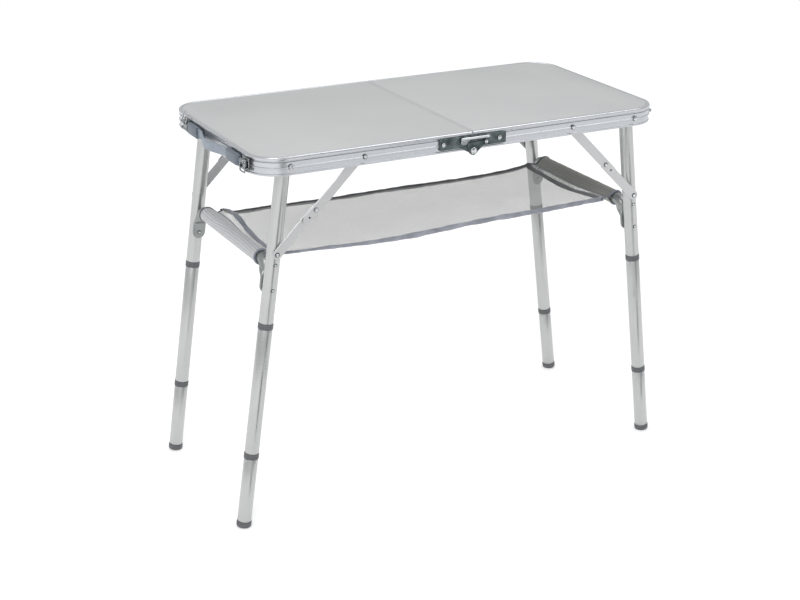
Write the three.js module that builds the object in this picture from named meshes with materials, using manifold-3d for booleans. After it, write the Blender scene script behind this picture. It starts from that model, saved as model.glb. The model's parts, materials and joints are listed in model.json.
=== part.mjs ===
// Folding camp kitchen table: two hinged top halves that close like a suitcase, two folding leg pairs with
// toggle braces and plug-in leg extensions, and a mesh shelf slung between the leg pairs' crossbars.
//
// Millimetres, +Z up. The origin is on the floor under the middle of the top. +X runs along the table,
// towards the end that has the catches, and the front is at -Y. Each half is built as the -X (left) half;
// the right half is the same builder turned half round, so its front and back change places.

import * as THREE from 'three';
import { mergeVertices } from 'three/addons/utils/BufferGeometryUtils.js';
import Module from 'manifold-3d';

const wasm = await Module();
wasm.setup();

// ---------------------------------------------------------------- driving dimensions

const TABLE_LENGTH = 800;
const TABLE_DEPTH = 400;
const TABLE_HEIGHT = 674;
const GAP = 0.3; // between pieces that touch or run in each other
const LAP = 1; // how far joined solids reach into each other, and cutters past a face

// edge frame and top panels
const CORNER_RADIUS = 55;
const FRAME_HEIGHT = 32;
const FRAME_FLANGE = 11; // how far the channel's two flanges reach in
const FRAME_SKIN = 2.6; // from the outline to the back of the channel
const FRAME_LEDGE = 2; // thickness of each flange
const RIM_WIDTH = 6; // the bead seen from above
const PANEL_THICKNESS = 3.8;
const PANEL_RECESS = 0.6; // panel face below the top of the bead
const HALF_GAP = 0.75; // from the middle plane to each half

// leg pairs
const PIVOT_DOWN = 18; // leg pivots below the top of the table
const PIVOT_X = 341.5;
const FOOT_X = 430.5;
const LEG_Y = 169;
const LEG_RADIUS = 12.5;
const LEG_BORE = 11.2;
const LEG_PIN = 4; // radius of the leg pivots
const PIVOT_HEAD = { radius: 4.8, height: 1.6 }; // outside the frame
const PIVOT_SPACER = 7; // radius of the bush between leg and frame
const PIVOT_CLINCH = { radius: 6, height: 1.5 }; // on the leg's inner side
const LEG_PLUG = 25; // solid end fitting round the pivot
const UPPER_LEG = 280; // from the pivot to the first collar
const MIDDLE_LEG = 229.5; // tube between the two collars
const COLLAR_HEIGHT = 10.5;
const COLLAR_RADIUS = 13.2;
const SPIGOT_RADIUS = 10.9;
const SPIGOT_UP = 40;
const SPIGOT_DOWN = 18;
const FOOT_HEIGHT = 11;
const FOOT_RADIUS = 13.3;
const FOOT_CHAMFER = 2.5;
const FOOT_SPARE = 3; // drawn below the floor and cut off level
const FLOOR_CUTTER = { width: 200, height: 20 };

// crossbar, measured down the leg from its pivot
const BAR_DOWN = 177;
const BAR_RADIUS = 11;
const BAR_BEND = 13;
const BAR_END_Y = 144; // centre line of the bent-down ends
const STRIP_THICKNESS = 6;
const STRIP_WIDTH = 24;
const STRIP_BOTTOM = 231;
const BAR_WALL = 1.4;
const BAR_INTO_STRIP = 3; // how far the round part runs into the flat one

// toggle braces
const BRACE_TOP_X = 207;
const BRACE_LEG_DOWN = 155; // lower brace pivot, down the leg from its pivot
const LINK_WIDTH = 17;
const LINK_THICKNESS = 1.8;
const LINK_TAIL = 21.5; // upper link past the middle pivot, to the centre of its round end
const LOWER_LINK_Y = 182.5; // inner face of the lower link
const UPPER_LINK_Y = 185.8; // inner face of the upper link
const RIVET_SHANK = 3; // radius
const RIVET_HEAD = 4.4; // radius
const RIVET_RISE = 1.1; // height of a head
const FRAME_RIVET_RISE = 1.4;
const RIVET_REACH = 3; // into the leg's bore

// centre hinges
const HINGE_DOWN = 33; // fold axis below the top, just under the frame
const PLATE_END = 66;
const PLATE_LOW = 26.5; // lower edge of the plates below the top
const PLATE_HEIGHT = 20;
const PLATE_THICKNESS = 1.9;
const EAR_RADIUS = 8;
const EAR_TIP = 5; // half width of an ear at its low end
const EAR_REACH = 27; // from the hinge pin to where an ear's side meets its plate
const EAR_ROOT = { left: 15, slant: 2.5, right: 30, height: 9, step: 14 }; // of the right plate's ear
const HINGE_PIN = 3.5; // radius
const HINGE_HEAD = { radius: 6.5, height: 1.8 };
const LOCK_PIN = { x: -20.5, down: 17, radius: 2.5 };
const LOCK_BAR = { left: -26, right: 32, down: 10.5, height: 6, thickness: 1.5 };
const LOCK_TAB_END = -8; // the bar's wide part ends here
const LOCK_TAB_DROP = 3; // it reaches this far below its pin

// left end: handle and draw latches; right end: catches
const HANDLE_Y = -18;
const HANDLE_HALF = 113;
const CAP_LENGTH = 46;
const CAP_DEPTH = 9;
const CAP_HEIGHT = 20;
const CAP_EDGE = 2; // chamfer along the caps
const STRAP_THICKNESS = 3.2;
const STRAP_HEIGHT = 17;
const STRAP_BOW = 14;
const STRAP_IN = 2; // strap's inner face from the end of the table, at the caps
const STRAP_TONGUE = 26; // straight end of the strap inside each cap
const STRAP_LEAD = 2; // straight stretch just outside each cap
const STRAP_STEPS = 20;
const FITTING_DOWN = 16.5; // middle of the handle and latches below the top
const LATCH_WIDTH = 26;
const LATCH_PLACES = [
  { name: 'back', y: 112, loopTilt: 20 },
  { name: 'front', y: -152, loopTilt: 180 },
];
const LATCH_BASE = { thickness: 1.5, height: 22, ear: 1.5, earHeight: 5.8 };
const LEVER_PIVOT = { out: 4.6, down: 24, radius: 1.4, hub: 2.2 };
const LEVER = { length: 16, thickness: 1.6, half: 8.3 };
const BARREL = { out: 7.4, down: 11, radius: 2.9, half: 8 };
const LOOP = { wire: 1.2, width: 20, length: 18.5 };
const CATCH = { down: 27, height: 20, thickness: 1.5, reach: 6, shelf: 4.5, lip: 5.5, half: 10 };

// mesh shelf
const SHELF_HALF_DEPTH = 130;
const SHELF_THICKNESS = 2.4;
const SHELF_SAG = 9;
const SHELF_STEPS = 16;
const SLEEVE_RADIUS = 13.4;
const SLEEVE_HALF = 124;
const CORNER_CUT = 26; // half width of the cut-backs round the bar's bends

// ---------------------------------------------------------------- worked out from them

const PIVOT_Z = TABLE_HEIGHT - PIVOT_DOWN;
const LEG_TILT = Math.atan2(FOOT_X - PIVOT_X, PIVOT_Z);
const LEG_LENGTH = PIVOT_Z / Math.cos(LEG_TILT);
const FRAME_BOTTOM = TABLE_HEIGHT - FRAME_HEIGHT;
const PANEL_TOP = TABLE_HEIGHT - PANEL_RECESS;
const PANEL_BOTTOM = PANEL_TOP - PANEL_THICKNESS;
const LEDGE_TOP = PANEL_BOTTOM - GAP;
const HINGE_Z = TABLE_HEIGHT - HINGE_DOWN;
const FRAME_FACE_Y = TABLE_DEPTH / 2;
const END_X = TABLE_LENGTH / 2;
const BRACE_SPAN = Math.hypot(
  PIVOT_X + BRACE_LEG_DOWN * Math.sin(LEG_TILT) - BRACE_TOP_X,
  BRACE_LEG_DOWN * Math.cos(LEG_TILT),
);
// the links lie in one line both when the legs are open and when they are folded flat
const PIN_DIFFERENCE = BRACE_LEG_DOWN - (PIVOT_X - BRACE_TOP_X);
const UPPER_LINK = (BRACE_SPAN + PIN_DIFFERENCE) / 2;
const LOWER_LINK = (BRACE_SPAN - PIN_DIFFERENCE) / 2;
const BRACE_ANGLE = Math.atan2(
  BRACE_LEG_DOWN * Math.cos(LEG_TILT),
  PIVOT_X + BRACE_LEG_DOWN * Math.sin(LEG_TILT) - BRACE_TOP_X,
);

const ROUND = 16; // sides of a tube or a large pin
const SMALL_ROUND = 8; // sides of a rivet or a small pin
const BEND_STEPS = 4; // straight steps in each of the crossbar's bends
const ARC_STEPS = 3; // half the steps in each arc of an outline
const CORNER_STEPS = 4; // half the steps in each round corner of the top

// ---------------------------------------------------------------- materials

function material(color, roughness, metalness) {
  return new THREE.MeshStandardMaterial({ color, roughness, metalness });
}

const aluminium = () => material(0xc8ccd0, 0.35, 0.9);
const laminate = () => material(0xc2c4c5, 0.45, 0.1);
const darkZinc = () => material(0x4c545a, 0.4, 0.8);
const chrome = () => material(0xd8dcdf, 0.15, 1.0);
const darkPlastic = () => material(0x5c5f62, 0.6, 0.0);
const handlePlastic = () => material(0x828c98, 0.55, 0.0);
const meshCloth = () => material(0xc9c9c6, 0.9, 0.0);

// ---------------------------------------------------------------- solids

function toSolid(geometry) {
  const bare = geometry.clone();
  bare.deleteAttribute('normal');
  bare.deleteAttribute('uv');
  const merged = mergeVertices(bare, 1e-4);
  return new wasm.Manifold(new wasm.Mesh({
    numProp: 3,
    vertProperties: new Float32Array(merged.attributes.position.array),
    triVerts: new Uint32Array(merged.index.array),
  }));
}

function toGeometry(solid) {
  const mesh = solid.getMesh();
  const geometry = new THREE.BufferGeometry();
  geometry.setAttribute('position', new THREE.BufferAttribute(new Float32Array(mesh.vertProperties), 3));
  geometry.setIndex(new THREE.BufferAttribute(new Uint32Array(mesh.triVerts), 1));
  geometry.computeVertexNormals();
  return geometry;
}

function piece(name, solid, itsMaterial) {
  const mesh = new THREE.Mesh(toGeometry(solid), itsMaterial);
  mesh.name = name;
  return mesh;
}

function union(solids) {
  return solids.reduce((whole, solid) => whole.add(solid));
}

function box(x0, x1, y0, y1, z0, z1) {
  const geometry = new THREE.BoxGeometry(x1 - x0, y1 - y0, z1 - z0);
  geometry.translate((x0 + x1) / 2, (y0 + y1) / 2, (z0 + z1) / 2);
  return toSolid(geometry);
}

// a cylinder along Z, between two heights
function post(x, y, z0, z1, radius, sides = ROUND) {
  const geometry = new THREE.CylinderGeometry(radius, radius, z1 - z0, sides);
  geometry.rotateX(Math.PI / 2);
  geometry.translate(x, y, (z0 + z1) / 2);
  return toSolid(geometry);
}

// a cylinder along Y, between two places
function pin(x, z, y0, y1, radius, sides = SMALL_ROUND) {
  const geometry = new THREE.CylinderGeometry(radius, radius, Math.abs(y1 - y0), sides);
  geometry.translate(x, (y0 + y1) / 2, z);
  return toSolid(geometry);
}

// an outline drawn in X and Z, given a thickness along Y
function plateXZ(shape, y0, y1) {
  const low = Math.min(y0, y1);
  const high = Math.max(y0, y1);
  const options = { depth: high - low, bevelEnabled: false, curveSegments: ARC_STEPS };
  const geometry = new THREE.ExtrudeGeometry(shape, options);
  geometry.rotateX(Math.PI / 2);
  geometry.translate(0, high, 0);
  return toSolid(geometry);
}

// an outline drawn in X and Y, given a thickness along Z
function slabXY(shape, z0, z1) {
  const options = { depth: z1 - z0, bevelEnabled: false, curveSegments: CORNER_STEPS };
  const geometry = new THREE.ExtrudeGeometry(shape, options);
  geometry.translate(0, 0, z0);
  return toSolid(geometry);
}

// a flat link with round ends, along X from one pin to the other
function capsule(x0, x1, radius) {
  const shape = new THREE.Shape();
  shape.moveTo(x0, -radius);
  shape.lineTo(x1, -radius);
  shape.absarc(x1, 0, radius, -Math.PI / 2, Math.PI / 2, false);
  shape.lineTo(x0, radius);
  shape.absarc(x0, 0, radius, Math.PI / 2, Math.PI * 1.5, false);
  return shape;
}

function polygon(points) {
  return new THREE.Shape(points.map(([x, y]) => new THREE.Vector2(x, y)));
}

// ---------------------------------------------------------------- top half: frame and panel

// the half's outline, drawn in by inset, from its round corners to the line x = inner
function halfOutline(inset, inner) {
  const radius = CORNER_RADIUS - inset;
  const cornerX = -(END_X - CORNER_RADIUS);
  const cornerY = FRAME_FACE_Y - CORNER_RADIUS;
  const shape = new THREE.Shape();
  shape.moveTo(inner, FRAME_FACE_Y - inset);
  shape.lineTo(cornerX, FRAME_FACE_Y - inset);
  shape.absarc(cornerX, cornerY, radius, Math.PI / 2, Math.PI, false);
  shape.lineTo(-(END_X - inset), -cornerY);
  shape.absarc(cornerX, -cornerY, radius, Math.PI, Math.PI * 1.5, false);
  shape.lineTo(inner, -(FRAME_FACE_Y - inset));
  return shape;
}

function halfSlab(inset, z0, z1, inner = -HALF_GAP) {
  return slabXY(halfOutline(inset, inner), z0, z1);
}

// each band of the outer face: how far it stands in, and its upper edge above the frame's bottom
const FRAME_BANDS = [
  { inset: 0, top: 3 },
  { inset: 0.8, top: 23.5 },
  { inset: 1.8, top: 25.5 },
  { inset: 0, top: 30.6 },
  { inset: 1.2, top: FRAME_HEIGHT },
];

function frameSolid() {
  const bands = [];
  let bottom = FRAME_BOTTOM;
  for (const band of FRAME_BANDS) {
    bands.push(halfSlab(band.inset, bottom, FRAME_BOTTOM + band.top));
    bottom = FRAME_BOTTOM + band.top;
  }
  const channelBottom = FRAME_BOTTOM + FRAME_LEDGE;
  let solid = union(bands);
  solid = solid.subtract(halfSlab(FRAME_FLANGE, FRAME_BOTTOM - LAP, LEDGE_TOP, LAP));
  solid = solid.subtract(halfSlab(FRAME_SKIN, channelBottom, LEDGE_TOP - FRAME_LEDGE, LAP));
  solid = solid.subtract(halfSlab(RIM_WIDTH, LEDGE_TOP, TABLE_HEIGHT + LAP, LAP));
  for (const side of [-1, 1]) {
    const inside = side * (FRAME_FACE_Y - FRAME_FLANGE - LAP);
    const outside = side * (FRAME_FACE_Y + LAP);
    solid = solid.subtract(pin(-PIVOT_X, PIVOT_Z, inside, outside, LEG_PIN + GAP, ROUND));
    solid = solid.subtract(pin(-BRACE_TOP_X, PIVOT_Z, inside, outside, RIVET_SHANK + GAP));
  }
  return solid;
}

function panelSolid() {
  return halfSlab(RIM_WIDTH + GAP, PANEL_BOTTOM, PANEL_TOP, -HALF_GAP - GAP);
}

// ---------------------------------------------------------------- leg pair
// Built upright in its own frame: the pivot axis is Y through the origin and the legs run down -Z.

const FIRST_COLLAR = UPPER_LEG;
const SECOND_COLLAR = UPPER_LEG + COLLAR_HEIGHT + MIDDLE_LEG;

function legPivotSolid(side) {
  const spacerIn = LEG_Y + LEG_RADIUS + GAP;
  const spacerOut = FRAME_FACE_Y - FRAME_SKIN - 2 * GAP;
  const inner = LEG_Y - LEG_RADIUS - GAP;
  const headIn = FRAME_FACE_Y + GAP;
  return union([
    pin(0, 0, side * (inner - LAP), side * (headIn + LAP), LEG_PIN, ROUND),
    pin(0, 0, side * spacerIn, side * spacerOut, PIVOT_SPACER, ROUND),
    pin(0, 0, side * (inner - PIVOT_CLINCH.height), side * inner, PIVOT_CLINCH.radius, ROUND),
    pin(0, 0, side * headIn, side * (headIn + PIVOT_HEAD.height), PIVOT_HEAD.radius, ROUND),
  ]);
}

function upperLegSolid(side) {
  const y = side * LEG_Y;
  const knuckle = pin(0, 0, y - LEG_RADIUS, y + LEG_RADIUS, LEG_RADIUS, ROUND);
  const rounded = post(0, y, -LEG_PLUG, LEG_RADIUS, LEG_RADIUS).intersect(knuckle);
  let solid = post(0, y, -UPPER_LEG + GAP, 0, LEG_RADIUS).add(rounded);
  solid = solid.subtract(post(0, y, -UPPER_LEG - LAP, -LEG_PLUG, LEG_BORE));
  solid = solid.subtract(pin(0, 0, y - LEG_RADIUS - LAP, y + LEG_RADIUS + LAP, LEG_PIN + GAP, ROUND));
  const rivetHole = pin(0, -BRACE_LEG_DOWN, y, side * (LEG_Y + LEG_RADIUS + LAP), RIVET_SHANK + GAP);
  return solid.subtract(rivetHole);
}

function tubeSolid(side, top, bottom) {
  const y = side * LEG_Y;
  const bore = post(0, y, -bottom - LAP, -top + LAP, LEG_BORE);
  return post(0, y, -bottom, -top, LEG_RADIUS).subtract(bore);
}

// a collar with a spigot up into the tube above and one down into its own tube
function collarSolid(side, top) {
  const y = side * LEG_Y;
  return union([
    post(0, y, -top - COLLAR_HEIGHT, -top, COLLAR_RADIUS),
    post(0, y, -top - LAP, -top + SPIGOT_UP, SPIGOT_RADIUS),
    post(0, y, -top - COLLAR_HEIGHT - SPIGOT_DOWN, -top - LAP, SPIGOT_RADIUS),
  ]);
}

// a cap on the tube's end, cut level with the floor
function footSolid(side) {
  const y = side * LEG_Y;
  const top = LEG_LENGTH - FOOT_HEIGHT;
  const low = LEG_LENGTH + FOOT_SPARE;
  const profile = [
    new THREE.Vector2(0, -low),
    new THREE.Vector2(FOOT_RADIUS - FOOT_CHAMFER, -low),
    new THREE.Vector2(FOOT_RADIUS, -low + FOOT_CHAMFER + FOOT_SPARE),
    new THREE.Vector2(FOOT_RADIUS, -top),
    new THREE.Vector2(SPIGOT_RADIUS, -top),
    new THREE.Vector2(SPIGOT_RADIUS, -top + SPIGOT_DOWN),
    new THREE.Vector2(0, -top + SPIGOT_DOWN),
  ];
  const lathe = new THREE.LatheGeometry(profile, ROUND);
  lathe.rotateX(Math.PI / 2);
  lathe.translate(0, y, 0);
  const belowFloor = new THREE.BoxGeometry(FLOOR_CUTTER.width, FLOOR_CUTTER.width, FLOOR_CUTTER.height);
  belowFloor.translate(0, 0, -FLOOR_CUTTER.height / 2);
  belowFloor.rotateY(-LEG_TILT);
  belowFloor.translate(0, y, -LEG_LENGTH);
  return toSolid(lathe).subtract(toSolid(belowFloor));
}

// a path through points, with one straight step between each two
class StepPath extends THREE.Curve {
  constructor(points) {
    super();
    this.points = points;
  }

  getPointAt(share, target = new THREE.Vector3()) {
    const place = share * (this.points.length - 1);
    const index = Math.min(Math.floor(place), this.points.length - 2);
    return target.lerpVectors(this.points[index], this.points[index + 1], place - index);
  }

  getTangentAt(share, target = new THREE.Vector3()) {
    const index = Math.round(share * (this.points.length - 1));
    const before = this.points[Math.max(index - 1, 0)];
    const after = this.points[Math.min(index + 1, this.points.length - 1)];
    return target.subVectors(after, before).normalize();
  }
}

// the bar's round part: straight, with a quarter bend down at each end and a short end below it
function bentBar(radius, overrun) {
  const straight = BAR_END_Y - BAR_BEND;
  const bend = [];
  for (let i = 0; i <= BEND_STEPS; i += 1) {
    const angle = (i / BEND_STEPS) * Math.PI / 2;
    const drop = BAR_BEND * (1 - Math.cos(angle));
    bend.push(new THREE.Vector3(0, straight + BAR_BEND * Math.sin(angle), -BAR_DOWN - drop));
  }
  bend.push(new THREE.Vector3(0, BAR_END_Y, -BAR_DOWN - BAR_BEND - overrun));
  const mirrored = bend.map((point) => new THREE.Vector3(point.x, -point.y, point.z)).reverse();
  const points = [...mirrored, ...bend];
  const section = [];
  for (let i = 0; i < ROUND; i += 1) {
    const angle = (i / ROUND) * 2 * Math.PI;
    section.push([radius * Math.cos(angle), radius * Math.sin(angle)]);
  }
  return toSolid(new THREE.ExtrudeGeometry(polygon(section), {
    steps: points.length - 1, extrudePath: new StepPath(points),
  }));
}

// a tube whose two ends turn down and are pressed flat against the legs
function crossbarSolid() {
  const parts = [bentBar(BAR_RADIUS, BAR_INTO_STRIP)];
  const stripOut = LEG_Y - LEG_RADIUS - GAP;
  for (const side of [-1, 1]) {
    const strip = capsule(BAR_DOWN + BAR_BEND, STRIP_BOTTOM - STRIP_WIDTH / 2, STRIP_WIDTH / 2);
    const plate = plateXZ(strip, side * (stripOut - STRIP_THICKNESS), side * stripOut);
    parts.push(plate.rotate([0, 90, 0]));
  }
  return union(parts).subtract(bentBar(BAR_RADIUS - BAR_WALL, 2 * BAR_INTO_STRIP));
}

// ---------------------------------------------------------------- braces
// Each link is drawn lying along +X from its pivot, in its own frame, and turned by its group.

function upperLinkSolid(side) {
  const inner = side * UPPER_LINK_Y;
  const outer = side * (UPPER_LINK_Y + LINK_THICKNESS);
  const head = side * (FRAME_FACE_Y + GAP);
  return union([
    plateXZ(capsule(0, UPPER_LINK + LINK_TAIL, LINK_WIDTH / 2), inner, outer),
    pin(0, 0, inner, head + side * LAP, RIVET_SHANK),
    pin(0, 0, head, head + side * FRAME_RIVET_RISE, RIVET_HEAD),
    pin(UPPER_LINK, 0, inner, outer + side * RIVET_RISE, RIVET_HEAD),
  ]);
}

function lowerLinkSolid(side) {
  const inner = side * LOWER_LINK_Y;
  const outer = side * (LOWER_LINK_Y + LINK_THICKNESS);
  return union([
    plateXZ(capsule(0, LOWER_LINK, LINK_WIDTH / 2), inner, outer),
    pin(0, 0, side * (LEG_Y + LEG_BORE - RIVET_REACH), inner, RIVET_SHANK),
    pin(0, 0, inner, outer + side * RIVET_RISE, RIVET_HEAD),
    pin(LOWER_LINK, 0, inner, outer + side * RIVET_RISE, RIVET_HEAD),
  ]);
}

// ---------------------------------------------------------------- centre hinges
// Three layers outside the frame's face: the two plates, the right plate's ear, and the lock bar.

const PLATE_BOTTOM = TABLE_HEIGHT - PLATE_LOW;
const PLATE_TOP = PLATE_BOTTOM + PLATE_HEIGHT;
const PLATE_IN_Y = FRAME_FACE_Y + GAP;
const EAR_IN_Y = PLATE_IN_Y + PLATE_THICKNESS + GAP;
const LOCK_IN_Y = EAR_IN_Y + PLATE_THICKNESS + GAP;
const EAR_TIP_Z = HINGE_Z - EAR_RADIUS + 1.8; // the ears' straight sides run down to here

// a block between two faces that may be given in either order along Y
function blockXZ(x0, x1, y0, y1, z0, z1) {
  return box(x0, x1, Math.min(y0, y1), Math.max(y0, y1), z0, z1);
}

// carries the hinge pin: its ear is the inner one
function leftHingePlateSolid(side) {
  const inner = side * PLATE_IN_Y;
  const outer = side * (PLATE_IN_Y + PLATE_THICKNESS);
  const earRoot = PLATE_BOTTOM + LAP;
  const ear = polygon([[-EAR_REACH, earRoot], [-EAR_TIP, EAR_TIP_Z], [0, earRoot]]);
  const headIn = side * LOCK_IN_Y;
  const headOut = side * (LOCK_IN_Y + HINGE_HEAD.height);
  return union([
    blockXZ(-PLATE_END, -2 * GAP, inner, outer, PLATE_BOTTOM, PLATE_TOP),
    plateXZ(ear, inner, outer),
    pin(0, HINGE_Z, inner, outer, EAR_RADIUS, ROUND),
    pin(0, HINGE_Z, inner, headOut, HINGE_PIN, ROUND),
    pin(0, HINGE_Z, headIn, headOut, HINGE_HEAD.radius, ROUND),
  ]);
}

// its ear is stepped outside the other one and turns on the pin
function rightHingePlateSolid(side) {
  const inner = side * PLATE_IN_Y;
  const outer = side * (PLATE_IN_Y + PLATE_THICKNESS);
  const earIn = side * EAR_IN_Y;
  const earOut = side * (EAR_IN_Y + PLATE_THICKNESS);
  const rootTop = PLATE_BOTTOM + EAR_ROOT.height;
  const ear = polygon([
    [-EAR_ROOT.left, PLATE_BOTTOM + EAR_ROOT.slant], [-EAR_TIP, EAR_TIP_Z], [EAR_TIP, EAR_TIP_Z],
    [EAR_REACH, PLATE_BOTTOM], [EAR_ROOT.right, rootTop], [0, rootTop],
  ]);
  const clearOfEar = EAR_RADIUS + 5 * GAP;
  const stepEnd = EAR_ROOT.right - LAP;
  const solid = union([
    blockXZ(clearOfEar, PLATE_END, inner, outer, PLATE_BOTTOM, PLATE_TOP),
    blockXZ(EAR_ROOT.step, stepEnd, inner, earOut, PLATE_BOTTOM + LAP / 2, rootTop),
    plateXZ(ear, earIn, earOut),
    pin(0, HINGE_Z, earIn, earOut, EAR_RADIUS, ROUND),
  ]);
  return solid.subtract(pin(0, HINGE_Z, earIn - side, earOut + side, HINGE_PIN + GAP, ROUND));
}

// a bar that turns on the left plate and lies over the joint
function lockBarSolid(side) {
  const inner = side * LOCK_IN_Y;
  const outer = side * (LOCK_IN_Y + LOCK_BAR.thickness);
  const barZ = TABLE_HEIGHT - LOCK_BAR.down;
  const pinZ = TABLE_HEIGHT - LOCK_PIN.down;
  const radius = LOCK_BAR.height / 2;
  const bar = capsule(LOCK_BAR.left + radius, LOCK_BAR.right - radius, radius);
  const tab = polygon([
    [LOCK_BAR.left, barZ + LAP], [LOCK_PIN.x - 4.5, pinZ - LOCK_TAB_DROP],
    [LOCK_PIN.x + 3.5, pinZ - LOCK_TAB_DROP - LAP], [LOCK_TAB_END, barZ + LAP],
  ]);
  return union([
    plateXZ(bar, inner, outer).translate([0, 0, barZ]),
    plateXZ(tab, inner, outer),
    pin(LOCK_PIN.x, pinZ, side * EAR_IN_Y, outer + side * LAP, LOCK_PIN.radius),
  ]);
}

// ---------------------------------------------------------------- handle

const FITTING_Z = TABLE_HEIGHT - FITTING_DOWN;
const CAP_INNER = HANDLE_HALF - CAP_LENGTH; // from the handle's middle to each cap's open face

// a cover with a pocket for the strap's end
function handleCapSolid(side) {
  const open = HANDLE_Y + side * CAP_INNER;
  const closed = HANDLE_Y + side * HANDLE_HALF;
  const halfHeight = CAP_HEIGHT / 2;
  const section = polygon([
    [0, -halfHeight], [CAP_DEPTH - CAP_EDGE, -halfHeight], [CAP_DEPTH, -halfHeight + CAP_EDGE],
    [CAP_DEPTH, halfHeight - CAP_EDGE], [CAP_DEPTH - CAP_EDGE, halfHeight], [0, halfHeight],
  ]);
  const geometry = new THREE.ExtrudeGeometry(section, { depth: CAP_LENGTH, bevelEnabled: false });
  // the section's X turns outward, to -X, and its length turns along Y
  geometry.applyMatrix4(new THREE.Matrix4().makeBasis(
    new THREE.Vector3(-1, 0, 0), new THREE.Vector3(0, 0, 1), new THREE.Vector3(0, 1, 0),
  ));
  geometry.translate(-END_X - GAP, Math.min(open, closed), FITTING_Z);
  const halfPocket = STRAP_HEIGHT / 2 + GAP;
  const pocketEnd = open + side * (STRAP_TONGUE + GAP);
  const mouth = open - side * LAP;
  const pocket = box(
    -END_X - STRAP_IN - STRAP_THICKNESS - 2 * GAP, -END_X - STRAP_IN + GAP,
    Math.min(mouth, pocketEnd), Math.max(mouth, pocketEnd),
    FITTING_Z - halfPocket, FITTING_Z + halfPocket,
  );
  return toSolid(geometry).subtract(pocket);
}

// how far the strap stands out at a place along it, from the middle
function strapBow(y) {
  const share = Math.min(1, Math.abs(y) / (CAP_INNER - STRAP_LEAD));
  return STRAP_BOW * (0.5 + 0.5 * Math.cos(Math.PI * share));
}

function handleStrapSolid() {
  const reach = CAP_INNER + STRAP_TONGUE;
  const face = -END_X - STRAP_IN - GAP / 2;
  const places = [-reach];
  for (let i = 0; i <= STRAP_STEPS; i += 1) {
    places.push(-CAP_INNER + (i / STRAP_STEPS) * 2 * CAP_INNER);
  }
  places.push(reach);
  const inner = places.map((y) => [face - strapBow(y), y]);
  const outer = inner.map(([x, y]) => [x - STRAP_THICKNESS, y]).reverse();
  const outline = polygon([...inner, ...outer]);
  const slab = slabXY(outline, FITTING_Z - STRAP_HEIGHT / 2, FITTING_Z + STRAP_HEIGHT / 2);
  return slab.translate([0, HANDLE_Y, 0]);
}

// ---------------------------------------------------------------- draw latches and catches

function latchBaseSolid(place) {
  const face = -END_X - GAP;
  const half = LATCH_WIDTH / 2;
  const bottom = FITTING_Z - LATCH_BASE.height / 2;
  const pivotX = -END_X - LEVER_PIVOT.out;
  const pivotZ = TABLE_HEIGHT - LEVER_PIVOT.down;
  const earHalf = LATCH_BASE.earHeight / 2;
  const parts = [box(face - LATCH_BASE.thickness, face, -half, half, bottom, bottom + LATCH_BASE.height)];
  for (const low of [-half, half - LATCH_BASE.ear]) {
    const outEnd = pivotX - earHalf;
    parts.push(box(outEnd, face, low, low + LATCH_BASE.ear, pivotZ - earHalf, pivotZ + earHalf));
  }
  const bore = pin(pivotX, pivotZ, -half - LAP, half + LAP, LEVER_PIVOT.radius + GAP);
  return union(parts).subtract(bore).translate([0, place.y, 0]);
}

// turns on the base's two ears; a barrel across it carries the wire loop
function latchLeverSolid(place) {
  const half = LATCH_WIDTH / 2;
  const pivotX = -END_X - LEVER_PIVOT.out;
  const pivotZ = TABLE_HEIGHT - LEVER_PIVOT.down;
  const barrelX = -END_X - BARREL.out;
  const barrelZ = TABLE_HEIGHT - BARREL.down;
  const plateOut = pivotX - LEVER.thickness / 2;
  const solid = union([
    box(plateOut, plateOut + LEVER.thickness, -LEVER.half, LEVER.half, pivotZ, pivotZ + LEVER.length),
    pin(pivotX, pivotZ, -half, half, LEVER_PIVOT.radius),
    pin(pivotX, pivotZ, -LEVER.half, LEVER.half, LEVER_PIVOT.hub),
    pin(barrelX, barrelZ, -BARREL.half, BARREL.half, BARREL.radius),
  ]);
  const bore = pin(barrelX, barrelZ, -BARREL.half - LAP, BARREL.half + LAP, LOOP.wire + GAP);
  return solid.subtract(bore).translate([0, place.y, 0]);
}

// a closed wire rectangle that runs through the lever's barrel and tilts on it
function latchLoopSolid(place) {
  const half = LOOP.width / 2;
  const solid = union([
    pin(0, 0, -half, half, LOOP.wire),
    pin(0, LOOP.length, -half, half, LOOP.wire),
    post(0, -half, -LOOP.wire, LOOP.length + LOOP.wire, LOOP.wire, SMALL_ROUND),
    post(0, half, -LOOP.wire, LOOP.length + LOOP.wire, LOOP.wire, SMALL_ROUND),
  ]);
  const tilted = solid.rotate([0, place.loopTilt, 0]);
  return tilted.translate([-END_X - BARREL.out, place.y, TABLE_HEIGHT - BARREL.down]);
}

// a hooked plate on the right end, drawn on the left end of the turned half
function catchSolid(place) {
  const face = -END_X - GAP;
  const bottom = TABLE_HEIGHT - CATCH.down;
  const plateOut = face - CATCH.thickness;
  const hookIn = face - CATCH.reach + CATCH.thickness;
  const hookOut = face - CATCH.reach;
  const shelf = bottom + CATCH.shelf;
  const profile = polygon([
    [face, bottom], [face, bottom + CATCH.height], [plateOut, bottom + CATCH.height],
    [plateOut, shelf + CATCH.thickness], [hookIn, shelf + CATCH.thickness], [hookIn, shelf + CATCH.lip],
    [hookOut, shelf + CATCH.lip], [hookOut, shelf], [plateOut, shelf], [plateOut, bottom],
  ]);
  return plateXZ(profile, -CATCH.half, CATCH.half).translate([0, -place.y, 0]);
}

// ---------------------------------------------------------------- mesh shelf

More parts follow.
